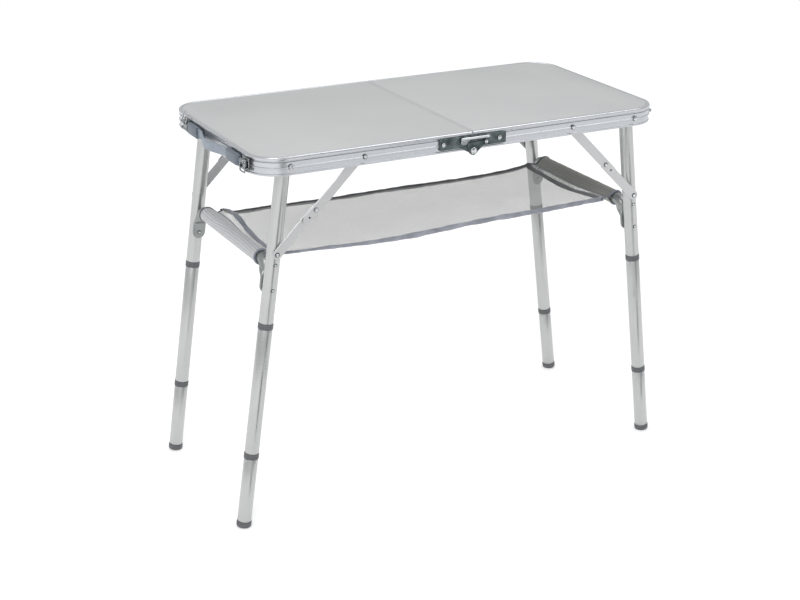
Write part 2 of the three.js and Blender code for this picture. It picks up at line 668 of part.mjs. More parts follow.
// the cloth between the two crossbars: it leaves each sleeve level with the bar's middle
function shelfSolid() {
  const barX = PIVOT_X + BAR_DOWN * Math.sin(LEG_TILT);
  const barZ = PIVOT_Z - BAR_DOWN * Math.cos(LEG_TILT);
  const top = [];
  const bottom = [];
  for (let i = 0; i <= SHELF_STEPS; i += 1) {
    const x = -barX + (i / SHELF_STEPS) * 2 * barX;
    const share = 1 - (x / barX) ** 2;
    const z = barZ + SHELF_THICKNESS / 2 - SHELF_SAG * Math.sqrt(share);
    top.push([x, z]);
    bottom.push([x, z - SHELF_THICKNESS]);
  }
  const parts = [plateXZ(polygon([...top, ...bottom.reverse()]), -SHELF_HALF_DEPTH, SHELF_HALF_DEPTH)];
  const bores = [];
  for (const x of [-barX, barX]) {
    parts.push(pin(x, barZ, -SLEEVE_HALF, SLEEVE_HALF, SLEEVE_RADIUS, ROUND));
    bores.push(pin(x, barZ, -TABLE_DEPTH / 2, TABLE_DEPTH / 2, BAR_RADIUS + 2 * GAP, ROUND));
    // the cloth's corners are cut back to leave the bar's bends free
    for (const side of [-1, 1]) {
      const cutIn = side * SLEEVE_HALF;
      const cutOut = side * FRAME_FACE_Y;
      const low = barZ - CORNER_CUT;
      bores.push(blockXZ(x - CORNER_CUT, x + CORNER_CUT, cutIn, cutOut, low, low + 2 * CORNER_CUT));
    }
  }
  return union(parts).subtract(union(bores));
}

// ---------------------------------------------------------------- assembly

const FRONT_BACK = [
  { label: 'front', side: -1 },
  { label: 'back', side: 1 },
];

// turned: the right half is the same thing turned half round, so its sides change names
function makeHalf(label, turned) {
  const half = new THREE.Group();
  half.add(piece(`${label}_frame`, frameSolid(), aluminium()));
  half.add(piece(`${label}_panel`, panelSolid(), laminate()));
  half.add(makeLegPair(label, turned));
  for (const { label: place, side: worldSide } of FRONT_BACK) {
    const side = turned ? -worldSide : worldSide;
    const pivot = piece(`${label}_leg_pivot_${place}`, legPivotSolid(side), chrome());
    pivot.position.set(-PIVOT_X, 0, PIVOT_Z);
    const link = piece(`${label}_upper_link_${place}`, upperLinkSolid(side), aluminium());
    link.position.set(-BRACE_TOP_X, 0, PIVOT_Z);
    link.rotation.y = Math.PI - BRACE_ANGLE;
    half.add(pivot, link);
  }
  if (turned) half.rotation.z = Math.PI;
  return half;
}

function makeLegPair(label, turned) {
  const pair = new THREE.Group();
  pair.position.set(-PIVOT_X, 0, PIVOT_Z);
  pair.rotation.y = LEG_TILT;
  pair.add(piece(`${label}_crossbar`, crossbarSolid(), aluminium()));
  for (const { label: place, side: worldSide } of FRONT_BACK) {
    const side = turned ? -worldSide : worldSide;
    const corner = `${label}_${place}`;
    const secondTube = SECOND_COLLAR + COLLAR_HEIGHT;
    const link = piece(`${corner}_lower_link`, lowerLinkSolid(side), aluminium());
    link.position.set(0, 0, -BRACE_LEG_DOWN);
    link.rotation.y = -BRACE_ANGLE - LEG_TILT;
    pair.add(
      link,
      piece(`${corner}_upper_leg`, upperLegSolid(side), aluminium()),
      piece(`${corner}_upper_collar`, collarSolid(side, FIRST_COLLAR), darkPlastic()),
      piece(`${corner}_middle_leg`,
        tubeSolid(side, FIRST_COLLAR + COLLAR_HEIGHT + GAP, SECOND_COLLAR - GAP), aluminium()),
      piece(`${corner}_lower_collar`, collarSolid(side, SECOND_COLLAR), darkPlastic()),
      piece(`${corner}_lower_leg`,
        tubeSolid(side, secondTube + GAP, LEG_LENGTH - FOOT_HEIGHT - GAP), aluminium()),
      piece(`${corner}_foot`, footSolid(side), darkPlastic()),
    );
  }
  return pair;
}

function makeCentreHinges() {
  const hinges = new THREE.Group();
  for (const { label, side } of FRONT_BACK) {
    hinges.add(
      piece(`left_hinge_plate_${label}`, leftHingePlateSolid(side), darkZinc()),
      piece(`right_hinge_plate_${label}`, rightHingePlateSolid(side), darkZinc()),
      piece(`lock_bar_${label}`, lockBarSolid(side), chrome()),
    );
  }
  return hinges;
}

function makeEndFittings() {
  const fittings = new THREE.Group();
  fittings.add(piece('handle_strap', handleStrapSolid(), handlePlastic()));
  for (const { label, side } of FRONT_BACK) {
    fittings.add(piece(`handle_cap_${label}`, handleCapSolid(side), handlePlastic()));
  }
  const rightEnd = new THREE.Group();
  rightEnd.rotation.z = Math.PI;
  for (const place of LATCH_PLACES) {
    fittings.add(
      piece(`latch_base_${place.name}`, latchBaseSolid(place), chrome()),
      piece(`latch_lever_${place.name}`, latchLeverSolid(place), chrome()),
      piece(`latch_loop_${place.name}`, latchLoopSolid(place), chrome()),
    );
    rightEnd.add(piece(`catch_${place.name}`, catchSolid(place), chrome()));
  }
  fittings.add(rightEnd);
  return fittings;
}

const table = new THREE.Group();
table.add(makeHalf('left', false), makeHalf('right', true));
table.add(makeCentreHinges(), makeEndFittings());
table.add(piece('mesh_shelf', shelfSolid(), meshCloth()));

export default table;
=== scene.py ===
"""Folding camp kitchen table: the finished look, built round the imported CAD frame.

Shapes are worked out in millimetres, in the CAD frame's own axes, and become metres when a mesh is made.
A half is drawn as the left half; the right half is the same drawing turned half round.
"""
import json
import math

import bmesh
import bpy
from mathutils import Matrix, Vector, noise


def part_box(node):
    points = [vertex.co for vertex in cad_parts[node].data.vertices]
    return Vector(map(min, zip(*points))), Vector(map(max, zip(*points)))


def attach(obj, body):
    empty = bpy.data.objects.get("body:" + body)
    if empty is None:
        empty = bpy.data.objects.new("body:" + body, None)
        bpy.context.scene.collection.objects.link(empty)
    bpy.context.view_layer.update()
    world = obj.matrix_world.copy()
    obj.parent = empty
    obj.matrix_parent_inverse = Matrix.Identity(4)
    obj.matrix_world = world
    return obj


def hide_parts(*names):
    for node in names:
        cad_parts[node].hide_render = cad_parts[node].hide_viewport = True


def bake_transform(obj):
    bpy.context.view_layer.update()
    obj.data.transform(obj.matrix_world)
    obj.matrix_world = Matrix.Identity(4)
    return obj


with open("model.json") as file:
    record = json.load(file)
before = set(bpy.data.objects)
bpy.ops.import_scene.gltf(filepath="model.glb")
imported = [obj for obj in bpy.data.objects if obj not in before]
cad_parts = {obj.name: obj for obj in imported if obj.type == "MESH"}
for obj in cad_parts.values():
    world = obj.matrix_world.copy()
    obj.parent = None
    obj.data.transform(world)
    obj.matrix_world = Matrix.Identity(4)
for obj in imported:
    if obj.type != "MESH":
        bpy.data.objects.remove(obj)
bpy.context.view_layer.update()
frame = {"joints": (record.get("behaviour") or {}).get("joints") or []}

MM = 0.001

# ---------------------------------------------------------------- camera

CAMERA_PLACE = (-1.36725, -2.47646, 1.41805)
CAMERA_YAW = 0.495  # to the right of +Y
CAMERA_PITCH = 0.379  # down
CAMERA_ROLL = 0.011
CAMERA_LENS = 71.95


def make_camera():
    """The camera, turned, tilted and rolled from its place."""
    ahead = Vector((
        math.sin(CAMERA_YAW) * math.cos(CAMERA_PITCH),
        math.cos(CAMERA_YAW) * math.cos(CAMERA_PITCH),
        -math.sin(CAMERA_PITCH),
    ))
    level = Vector((math.cos(CAMERA_YAW), -math.sin(CAMERA_YAW), 0))
    above = level.cross(ahead)
    right = level * math.cos(CAMERA_ROLL) + above * math.sin(CAMERA_ROLL)
    up = above * math.cos(CAMERA_ROLL) - level * math.sin(CAMERA_ROLL)
    camera = bpy.data.objects.new("camera", bpy.data.cameras.new("camera"))
    camera.data.lens = CAMERA_LENS
    camera.data.sensor_width = 36
    turn = Matrix((right, up, -ahead)).transposed().to_4x4()
    camera.matrix_world = Matrix.Translation(CAMERA_PLACE) @ turn
    bpy.context.scene.collection.objects.link(camera)
    bpy.context.scene.camera = camera


make_camera()

# ---------------------------------------------------------------- sizes that the frame gives


def joint(name):
    return next(j for j in frame["joints"] if j["name"] == name)


def joint_place(name):
    """A joint's pivot, in millimetres."""
    return Vector(joint(name)["pos_m"]) / MM


def low_high(node):
    """A CAD node's lowest and highest corners, in millimetres."""
    low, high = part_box(node)
    return Vector(low) / MM, Vector(high) / MM


frame_low, frame_high = low_high("left_frame")
TOP = frame_high.z
FRAME_BOTTOM = frame_low.z
END_X = -frame_low.x
FACE_Y = frame_high.y
FOLD_X = -frame_high.x
PANEL_LOW, PANEL_HIGH = low_high("left_panel")
PIVOT = joint_place("left_leg_fold")
LEG_AXIS = Vector(joint("left_front_extension_pull")["axis"])
LEG_TILT = math.atan2(abs(LEG_AXIS.x), abs(LEG_AXIS.z))
LEG_LENGTH = PIVOT.z / math.cos(LEG_TILT)
HINGE_Z = joint_place("case_fold").z
foot_low, foot_high = low_high("left_back_foot")
LEG_Y = (foot_low.y + foot_high.y) / 2
BRACE_TOP = joint_place("left_front_upper_brace_turn")
BRACE_LOW = joint_place("left_front_lower_brace_turn")

# ---------------------------------------------------------------- sizes of the finished pieces

CORNER_RADIUS = 55
RIM_WIDTH = 6
# the edge extrusion's section: how far in from the outline, and how high above its bottom
FRAME_LIP = [(11, 0), (0.6, 0), (0, 0.6), (0, 2.8), (1.4, 3.7)]
FRAME_RIB = [(1.4, 11.4), (0.1, 12.1), (0.1, 13.9), (1.4, 14.6)]
FRAME_GROOVE = [(1.0, 22.4), (2.8, 23.3), (2.8, 24.8), (0.5, 25.5), (0, 26.2)]
FRAME_WALL = 4.3
FRAME_INSIDE = [(6, 31.2), (6, 27.3), (11, 27.3), (11, 25.3), (FRAME_WALL, 25.3), (FRAME_WALL, 2), (11, 2)]
BEAD = {"radius": 2.6, "flat_end": 4.9}
FOLD_TRIM = {"inner": 0.12, "bead": 1.6, "width": 5.0, "rise": 0.4, "step": 0.15}

LEG_RADIUS = 12.5
LEG_BORE = 11.2
LEG_PLUG = 25
UPPER_LEG = 280
MIDDLE_LEG = 229.5
COLLAR = {"height": 10.5, "radius": 13.2, "spigot": 10.9, "up": 40, "down": 18}
FOOT = {"height": 11, "radius": 13.3, "round": 4.2}
CRIMP = {"radius": 1.5, "rise": 0.5, "below": 3.4}
GAP = 0.3

BAR_DOWN = 177
BAR_RADIUS = 11
BAR_BEND = 13
BAR_END_Y = 144
STRIP = {"out": 156.2, "thickness": 4.4, "width": 24, "bottom": 231, "flat_from": 204}
BAR_RIVETS = (174, 219)

LINK_WIDTH = 17
LINK_THICKNESS = 1.8
LINK_TAIL = 21.5
LOWER_LINK_Y = 182.5
UPPER_LINK_Y = 185.8
RIVET = {"radius": 4.4, "rise": 2.1}
LOW_HEAD = 1.05  # for heads that a folded brace passes over
PIVOT_HEAD = {"radius": 4.9, "rise": 2.2}
BRACE_FRAME_HEAD = {"radius": 4.4, "rise": 1.5}
BRACE_LINK_HEAD = {"radius": 5.2, "rise": 1.6}
STOP_HEAD = {"radius": 1.8, "rise": 0.7}
STOP_FROM_TAIL = 4.5
BAR_HEAD = {"radius": 3.6, "rise": LOW_HEAD}
BAR_INNER_HEAD = {"radius": 3.4, "rise": 1.4}
HEAD_SEAT = 0.75  # how far a head sits into the leg's round side

PLATE_END = 66
PLATE_BOTTOM = TOP - 26.5
PLATE_HEIGHT = 20
PLATE_THICKNESS = 1.9
EAR_RADIUS = 8
LOCK_PIN = (-20.5, TOP - 17)

# ---------------------------------------------------------------- mesh parts


class Part:
    """Points in millimetres, faces, and each face corner's UV in metres."""

    def __init__(self, points, faces, uvs):
        self.points = points
        self.faces = faces
        self.uvs = uvs

    def moved(self, matrix):
        return Part([matrix @ point for point in self.points], self.faces, self.uvs)


def running_lengths(points, wrap=False):
    """How far along each point lies, in metres."""
    lengths = [0.0]
    following = points[1:] + points[:1] if wrap else points[1:]
    for here, there in zip(points, following):
        lengths.append(lengths[-1] + (there - here).length * MM)
    return lengths


def spread(low, high, steps):
    """Evenly spaced values, both ends included."""
    return [low + (high - low) * i / steps for i in range(steps + 1)]


def round_steps(sides):
    """The cosine and sine of even steps round a circle."""
    angles = [2 * math.pi * i / sides for i in range(sides)]
    return [(math.cos(angle), math.sin(angle)) for angle in angles]


def bulged(value, power):
    """A cosine or sine raised to a power with its sign kept: a power below 1 squares a circle off."""
    return math.copysign(abs(value) ** power, value)


def skin(rows, wrap=True, closed=False):
    """A surface over rows of points. wrap joins each row's ends, closed joins the last row to the first."""
    count = len(rows[0])
    points = [point for row in rows for point in row]
    middle = rows[len(rows) // 2]
    across = running_lengths(middle, wrap)
    along = running_lengths([row[0] for row in rows], closed)
    faces = []
    uvs = []
    for i in range(len(rows) if closed else len(rows) - 1):
        j = (i + 1) % len(rows)
        for k in range(count if wrap else count - 1):
            n = (k + 1) % count
            faces.append((i * count + k, i * count + n, j * count + n, j * count + k))
            left, right = across[k], across[k + 1]
            uvs.append(((along[i], left), (along[i], right), (along[i + 1], right), (along[i + 1], left)))
    if wrap and not closed:
        for first in (0, (len(rows) - 1) * count):
            faces.append(tuple(range(first, first + count)))
            uvs.append(tuple(((p.x + p.z) * MM, p.y * MM) for p in points[first:first + count]))
    return Part(points, faces, uvs)


def ring(radius, height, sides=40, narrow=None):
    """A level circle; narrow keeps its X within that much of the middle."""
    points = []
    for c, s in round_steps(sides):
        x = radius * c
        if narrow is not None:
            x = max(-narrow, min(narrow, x))
        points.append(Vector((x, radius * s, height)))
    return points


def lathe(profile, sides=40, closed=False):
    """A profile of (radius, height) turned round Z."""
    return skin([ring(radius, height, sides) for radius, height in profile], closed=closed)


def arc(x, y, radius, start, end, steps):
    """Points on an arc, both ends included; angles in degrees."""
    angles = [math.radians(angle) for angle in spread(start, end, steps)]
    return [Vector((x + radius * math.cos(a), y + radius * math.sin(a))) for a in angles]


def capsule(x0, x1, radius, steps=14):
    """The outline of a strip with round ends."""
    return arc(x1, 0, radius, -90, 90, steps) + arc(x0, 0, radius, 90, 270, steps)


def eased(corners, cut, steps=4):
    """A closed outline through corners, each one rounded off over the length cut."""
    points = []
    for i, corner in enumerate(corners):
        here = Vector(corner)
        before = Vector(corners[i - 1]) - here
        after = Vector(corners[(i + 1) % len(corners)]) - here
        first = here + before.normalized() * min(cut, before.length * 0.45)
        last = here + after.normalized() * min(cut, after.length * 0.45)
        for step in range(steps + 1):
            t = step / steps
            points.append(first * (1 - t) ** 2 + here * (2 * t * (1 - t)) + last * t ** 2)
    return points


def drawn_in(outline, distance):
    """The outline with each point moved inwards."""
    count = len(outline)
    area = sum(outline[i - 1].cross(outline[i]) for i in range(count))
    turn = 1 if area > 0 else -1
    moved = []
    for i, point in enumerate(outline):
        before = (point - outline[i - 1]).normalized()
        after = (outline[(i + 1) % count] - point).normalized()
        along = (before + after).normalized()
        inward = Vector((-along.y, along.x)) * turn
        moved.append(point + inward * distance)
    return moved


def plate(outline, low, high, ease=0.3):
    """An outline in X and Z given a thickness along Y, with eased edges."""
    low, high = min(low, high), max(low, high)
    inner = drawn_in(outline, ease)
    rows = []
    for points, y in ((inner, low), (outline, low + ease), (outline, high - ease), (inner, high)):
        rows.append([Vector((point.x, y, point.y)) for point in points])
    return skin(rows)


def block(x0, x1, y0, y1, z0, z1, ease=0.4):
    """A box with eased edges."""
    return plate(eased([(x0, z0), (x1, z0), (x1, z1), (x0, z1)], ease, steps=2), y0, y1, ease * 0.7)


def wire(points, radius, closed=False, sides=12):
    """A round wire along points."""
    rows = []
    count = len(points)
    first = (points[1] - points[0]).normalized()
    side = first.orthogonal().normalized()
    for i, point in enumerate(points):
        before = points[i - 1] if closed or i else points[0]
        after = points[(i + 1) % count] if closed or i < count - 1 else points[-1]
        along = (after - before).normalized()
        side = (side - along * side.dot(along)).normalized()
        other = along.cross(side)
        rows.append([point + (side * c + other * s) * radius for c, s in round_steps(sides)])
    return skin(rows, closed=closed)


def facing(x, y, z, side):
    """Puts a thing drawn up Z at a place, looking along Y to that side."""
    return Matrix.Translation((x, y, z)) @ Matrix.Rotation(-side * math.pi / 2, 4, "X")


def dome(radius, rise, sunk=0.6, steps=7):
    """A domed head with a fine undercut where it meets the face."""
    profile = [(radius * 0.72, -sunk), (radius * 0.72, 0), (radius, 0.25)]
    for i in range(1, steps + 1):
        angle = math.radians(88 * i / steps)
        profile.append((radius * math.cos(angle), 0.25 + rise * math.sin(angle)))
    return lathe(profile, sides=28)


def rivet(x, z, face, side, radius=RIVET["radius"], rise=RIVET["rise"]):
    """A domed head on a face that looks along Y to that side."""
    return dome(radius, rise).moved(facing(x, side * face, z, side))


def shade(mesh, sharp_angle):
    """Normals out, smooth faces, and sharp edges where the surface turns by more than the angle."""
    work = bmesh.new()
    work.from_mesh(mesh)
    closed = all(edge.is_manifold for edge in work.edges)
    if closed:
        bmesh.ops.recalc_face_normals(work, faces=work.faces)
    for face in work.faces:
        face.smooth = True
    for edge in work.edges:
        if edge.is_manifold:
            edge.smooth = edge.calc_face_angle(0) < math.radians(sharp_angle)
    work.to_mesh(mesh)
    work.free()


def mesh_object(name, parts, place=Matrix.Identity(4), sharp_angle=38, above_floor=False):
    """One object from parts, placed in millimetres and made in metres."""
    points = []
    faces = []
    uvs = []
    for part in parts:
        start = len(points)
        for point in part.points:
            placed = (place @ point) * MM
            if above_floor:
                placed.z = max(placed.z, 0)
            points.append(placed)
        faces += [tuple(start + index for index in face) for face in part.faces]
        uvs += part.uvs
    mesh = bpy.data.meshes.new(name)
    mesh.from_pydata(points, [], faces)
    layer = mesh.uv_layers.new(name="UVMap")
    for polygon, corners in zip(mesh.polygons, uvs):
        for loop, corner in zip(polygon.loop_indices, corners):
            layer.data[loop].uv = corner
    shade(mesh, sharp_angle)
    thing = bpy.data.objects.new(name, mesh)
    bpy.context.scene.collection.objects.link(thing)
    return thing


def dress(thing, look, stands_for):
    """Gives a piece its look, and hides the CAD nodes that it stands for."""
    slot, material = LOOKS[look]
    thing.data.materials.append(material)
    if stands_for:
        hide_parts(*stands_for)
    return thing


def piece(name, parts, place, look, body, stands_for=(), **options):
    """A rigid piece that rides on one body."""
    thing = dress(mesh_object(name, parts, place, **options), look, stands_for)
    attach(thing, body)


def soft_piece(thing, look, stands_for=()):
    """A cloth piece, its placing baked into its mesh, given its look."""
    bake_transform(thing)
    return dress(thing, look, stands_for)


# ---------------------------------------------------------------- materials


class Look:
    """A material under construction."""

    def __init__(self, name, roughness, metallic=0.0, specular=0.5):
        self.material = bpy.data.materials.new(name)
        self.material.use_nodes = True
        self.tree = self.material.node_tree
        self.shader = self.tree.nodes["Principled BSDF"]
        self.shader.inputs["Roughness"].default_value = roughness
        self.shader.inputs["Metallic"].default_value = metallic
        self.shader.inputs["Specular IOR Level"].default_value = specular

    def node(self, kind, inputs=None, **settings):
        made = self.tree.nodes.new(kind)
        for name, value in settings.items():
            setattr(made, name, value)
        for name, value in (inputs or {}).items():
            if isinstance(value, bpy.types.NodeSocket):
                self.tree.links.new(value, made.inputs[name])
            else:
                made.inputs[name].default_value = value
        return made

    def place(self, kind="Object", stretch=(1, 1, 1), turn=0.0):
        """Texture coordinates in metres, stretched."""
        coordinates = self.node("ShaderNodeTexCoord").outputs[kind]
        mapping = self.node("ShaderNodeMapping", {"Vector": coordinates, "Scale": stretch})
        mapping.inputs["Rotation"].default_value = (0, 0, turn)
        return mapping.outputs["Vector"]

    def noise(self, scale, detail=3.0, kind="Object", stretch=(1, 1, 1)):
        place = self.place(kind, stretch)
        made = self.node("ShaderNodeTexNoise", {"Vector": place, "Scale": scale, "Detail": detail})
        return made.outputs["Fac"]

    def math(self, operation, first, second=0.0):
        made = self.node("ShaderNodeMath", {0: first, 1: second}, operation=operation)
        return made.outputs[0]

    def ranged(self, value, low, high, to_low, to_high, smooth=False):
        inputs = {"Value": value, "From Min": low, "From Max": high, "To Min": to_low, "To Max": to_high}
        kind = "SMOOTHSTEP" if smooth else "LINEAR"
        return self.node("ShaderNodeMapRange", inputs, interpolation_type=kind).outputs["Result"]

    def shades(self, factor, dark, light, low=0.3, high=0.7):
        """A colour between two, by a factor."""
        made = self.node("ShaderNodeValToRGB", {"Fac": factor})
        ramp = made.color_ramp.elements
        ramp[0].position = low
        ramp[1].position = high
        ramp[0].color = (*dark, 1)
        ramp[1].color = (*light, 1)
        return made.outputs["Color"]

    def mixed(self, factor, first, second, blend="MIX"):
        made = self.node("ShaderNodeMix", data_type="RGBA", blend_type=blend)
        for index, value in ((0, factor), (6, first), (7, second)):
            if isinstance(value, bpy.types.NodeSocket):
                self.tree.links.new(value, made.inputs[index])
            else:
                made.inputs[index].default_value = value if index == 0 else (*value, 1)
        return made.outputs[2]

    def give(self, name, socket):
        self.tree.links.new(socket, self.shader.inputs[name])

    def paint(self, base, detail):
        """The base colour, with a detail's light and dark on it."""
        self.give("Base Color", self.mixed(1.0, base, detail, "MULTIPLY"))

    def rough(self, value, low, high):
        """A roughness that runs between two with a noise."""
        self.give("Roughness", self.ranged(value, 0.3, 0.7, low, high))

    def bump(self, height, strength, distance):
        made = self.node("ShaderNodeBump", {"Height": height, "Strength": strength, "Distance": distance})
        self.give("Normal", made.outputs["Normal"])


def grey(value, red=1.0, green=1.0, blue=1.0):
    return (value * red, value * green, value * blue)


def times(colour, share):
    return tuple(channel * share for channel in colour)


def satin_aluminium(name, tone, tint=(1, 1, 1), roughness=0.34, metallic=0.85):
    """Anodised aluminium: a fine grain along the piece, faint cloudiness and handling marks."""
    look = Look(name, roughness, metallic)
    grain = look.noise(1.0, 4.0, "UV", (60, 2600, 1))
    cloud = look.noise(9.0)
    fine = look.noise(420.0, 2.0)
    base = look.shades(cloud, grey(tone * 0.955, *tint), grey(tone * 1.03, *tint))
    streaks = look.shades(grain, grey(0.93), grey(1.0), 0.25, 0.75)
    look.paint(base, streaks)
    marks = look.math("ADD", look.ranged(cloud, 0.3, 0.7, -0.04, 0.05), roughness)
    look.give("Roughness", look.math("ADD", marks, look.ranged(grain, 0.3, 0.7, -0.03, 0.04)))
    look.bump(look.math("ADD", grain, look.math("MULTIPLY", fine, 0.5)), 0.12, 0.0001)
    return look.material


def laminate():
    """The tops: a pale grey laminate with a fine pressed grain and very faint clouds."""
    look = Look("top_laminate_look", 0.42, 0.0, 0.4)
    cloud = look.noise(5.5, 4.0)
    speck = look.noise(900.0, 2.0)
    pores = look.node("ShaderNodeTexVoronoi", {"Vector": look.place("Object"), "Scale": 620.0})
    base = look.shades(cloud, (0.512, 0.532, 0.531), (0.552, 0.570, 0.566))
    grain = look.shades(speck, grey(0.95), grey(1.0))
    look.paint(base, grain)
    look.rough(cloud, 0.40, 0.47)
    height = look.math("ADD", speck, look.math("MULTIPLY", pores.outputs["Distance"], 0.7))
    look.bump(height, 0.16, 0.00012)
    return look.material


def dark_zinc():
    """Cast zinc under a dark plating: uneven tone, pitted skin, rubbed lighter here and there."""
    look = Look("dark_zinc_look", 0.42, 0.75)
    cloud = look.noise(70.0, 4.0)
    pits = look.noise(650.0)
    base = look.shades(cloud, (0.046, 0.062, 0.064), (0.150, 0.182, 0.184), 0.32, 0.68)
    rubbed = look.shades(pits, grey(0.75), grey(1.25), 0.35, 0.7)
    look.paint(base, rubbed)
    look.rough(pits, 0.32, 0.52)
    look.bump(look.math("ADD", cloud, pits), 0.45, 0.0002)
    return look.material


def plating(name, dark, light, roughness):
    """Polished plating with faint smears and fine scratches."""
    look = Look(name, roughness, 1.0)
    smear = look.noise(130.0, 3.0, "Object", (1, 1, 3))
    scratch = look.noise(3.0, 3.0, "Object", (40, 900, 40))
    look.give("Base Color", look.shades(smear, dark, light))
    look.rough(smear, roughness - 0.04, roughness + 0.1)
    look.bump(scratch, 0.08, 0.00008)
    return look.material


def rivet_steel():
    """Plated steel heads: bright and faintly smeared, with a painted shade round the rim for the shadow and
    dark reflection under the head.
    """
    look = Look("rivet_steel_painted_shade_look", 0.2, 0.95)
    smear = look.noise(260.0)
    from_foot = look.node("ShaderNodeSeparateXYZ", {"Vector": look.place("UV")}).outputs["X"]
    bright = look.shades(smear, (0.42, 0.45, 0.47), (0.80, 0.83, 0.85), 0.35, 0.65)
    # painted shade: this dark colour, laid round the rim of each head, stands in for the shadow and dark
    # reflection below the dome
    dark = look.shades(smear, (0.030, 0.036, 0.040), (0.085, 0.095, 0.10), 0.35, 0.65)
    out_of_painted_rim_shade = look.ranged(from_foot, PAINTED_SHADE_START * MM, PAINTED_SHADE_END * MM, 0.0, 1.0, smooth=True)
    look.give("Base Color", look.mixed(out_of_painted_rim_shade, dark, bright))
    look.rough(smear, 0.12, 0.3)
    look.bump(smear, 0.1, 0.0001)
    return look.material


def moulded_plastic(name, colour, roughness):
    """Moulded plastic with a fine spark-eroded grain and slight flow marks."""
    look = Look(name, roughness, 0.0, 0.45)
    cloud = look.noise(45.0, 3.0, "Object", (1, 1, 2.5))
    spark = look.noise(1400.0, 2.0)
    dark = times(colour, 0.88)
    light = times(colour, 1.12)
    look.give("Base Color", look.shades(cloud, dark, light))
    look.rough(spark, roughness - 0.06, roughness + 0.1)
    look.bump(spark, 0.3, 0.00012)
    return look.material


# where the painted shade round a rivet's rim fades into the plating
PAINTED_SHADE_START = 2.7  # along a rivet's section from its foot, in millimetres
PAINTED_SHADE_END = 4.2
MESH_PITCH = 1.9 * MM
TWILL_SCALE = 110.0
BAR_X = 365.3  # the middle of the crossbar
SEAM_X = 330  # where the sleeve is sewn to the net
SLEEVE = {"radius": 13.3, "half": 124, "stitch": 19.5}
FLAP_WIDTH = BAR_X - SEAM_X - SLEEVE["stitch"]
SLEEVE_AROUND = 2 * FLAP_WIDTH + 2 * math.pi * SLEEVE["radius"]


def eye_edge(thread_share):
    """Where the open eye begins when threads cover this share of each pitch."""
    return math.sin(math.pi * thread_share / 2)


def woven(look, base, edge):
    """Crossed threads over the base colour, with open eyes from the edge on."""
    look.shader.inputs["Sheen Weight"].default_value = 0.25
    place = look.place("UV", (1 / MESH_PITCH,) * 3, math.radians(45))
    split = look.node("ShaderNodeSeparateXYZ", {"Vector": place})
    waves = []
    for axis in ("X", "Y"):
        turned = look.math("MULTIPLY", split.outputs[axis], math.pi)
        waves.append(look.math("ABSOLUTE", look.math("SINE", turned)))
    eye = look.math("MINIMUM", waves[0], waves[1])
    fuzz = look.noise(2400.0, 2.0, "UV")
    thread = look.math("MULTIPLY", edge, 0.75)
    opening = look.math("MULTIPLY", edge, 1.25)
    look.give("Alpha", look.ranged(eye, thread, opening, 1.0, 0.0, smooth=True))
    look.paint(base, look.shades(fuzz, grey(0.8), grey(1.1), 0.35, 0.65))
    look.bump(look.math("MULTIPLY", eye, -1.0), 0.5, 0.0003)
    return look.material


def net_cloth(name, colour, thread_share):
    """The shelf's open net: cloudy thread with a fine diagonal twill."""
    look = Look(name, 0.75, 0.0, 0.2)
    cloud = look.noise(14.0, 4.0, "UV")
    dark = times(colour, 0.8)
    twill = look.node("ShaderNodeTexWave", {
        "Vector": look.place("UV"), "Scale": TWILL_SCALE, "Distortion": 0.4,
    }, bands_direction="DIAGONAL")
    base = look.shades(cloud, dark, colour, 0.35, 0.65)
    crossed = look.shades(twill.outputs["Fac"], grey(0.62), grey(1.12), 0.2, 0.8)
    return woven(look, look.mixed(1.0, base, crossed, "MULTIPLY"), eye_edge(thread_share))


def sleeve_net(name, tube_colour, flap_colour, flap_shade):
    """Closer net: ribbed round the bar, and mottled where two layers lie together."""
    look = Look(name, 0.75, 0.0, 0.2)
    place = look.place("UV")
    around = look.node("ShaderNodeSeparateXYZ", {"Vector": place}).outputs["Y"]
    middle = SLEEVE_AROUND * MM / 2
    off_middle = look.math("ABSOLUTE", look.math("SUBTRACT", around, middle))
    flap = look.ranged(off_middle, middle - FLAP_WIDTH * MM, middle - (FLAP_WIDTH - 2) * MM, 0.0, 1.0)
    ribs = look.node("ShaderNodeTexWave", {
        "Vector": place, "Scale": 62.0, "Distortion": 1.5, "Detail": 2.0, "Detail Scale": 2.0,
    }, bands_direction="Y")
    speckle = look.noise(300.0, 3.0, "UV", (1, 1.6, 1))
    tube = look.shades(ribs.outputs["Fac"], times(tube_colour, 0.78), tube_colour, 0.2, 0.8)
    mottled = look.shades(speckle, times(flap_colour, flap_shade), flap_colour, 0.45, 0.55)
    edge = look.ranged(flap, 0.0, 1.0, eye_edge(0.72), eye_edge(0.38))
    return woven(look, look.mixed(flap, tube, mottled), edge)


def webbing(name, colour):
    """Narrow woven tape: fine ribs across it, with lighter and darker stretches."""
    look = Look(name, 0.72, 0.0, 0.25)
    look.shader.inputs["Sheen Weight"].default_value = 0.3
    ribs = look.node("ShaderNodeTexWave", {
        "Vector": look.place("UV"), "Scale": 180.0, "Distortion": 1.2, "Detail": 2.0, "Detail Scale": 3.0,
    })
    cloud = look.noise(38.0, 4.0, "UV")
    dark = times(colour, 0.68)
    light = times(colour, 1.25)
    base = look.shades(cloud, dark, light)
    rib_tone = look.shades(ribs.outputs["Fac"], grey(0.78), grey(1.06), 0.2, 0.8)
    look.paint(base, rib_tone)
    look.bump(ribs.outputs["Fac"], 0.5, 0.0004)
    return look.material


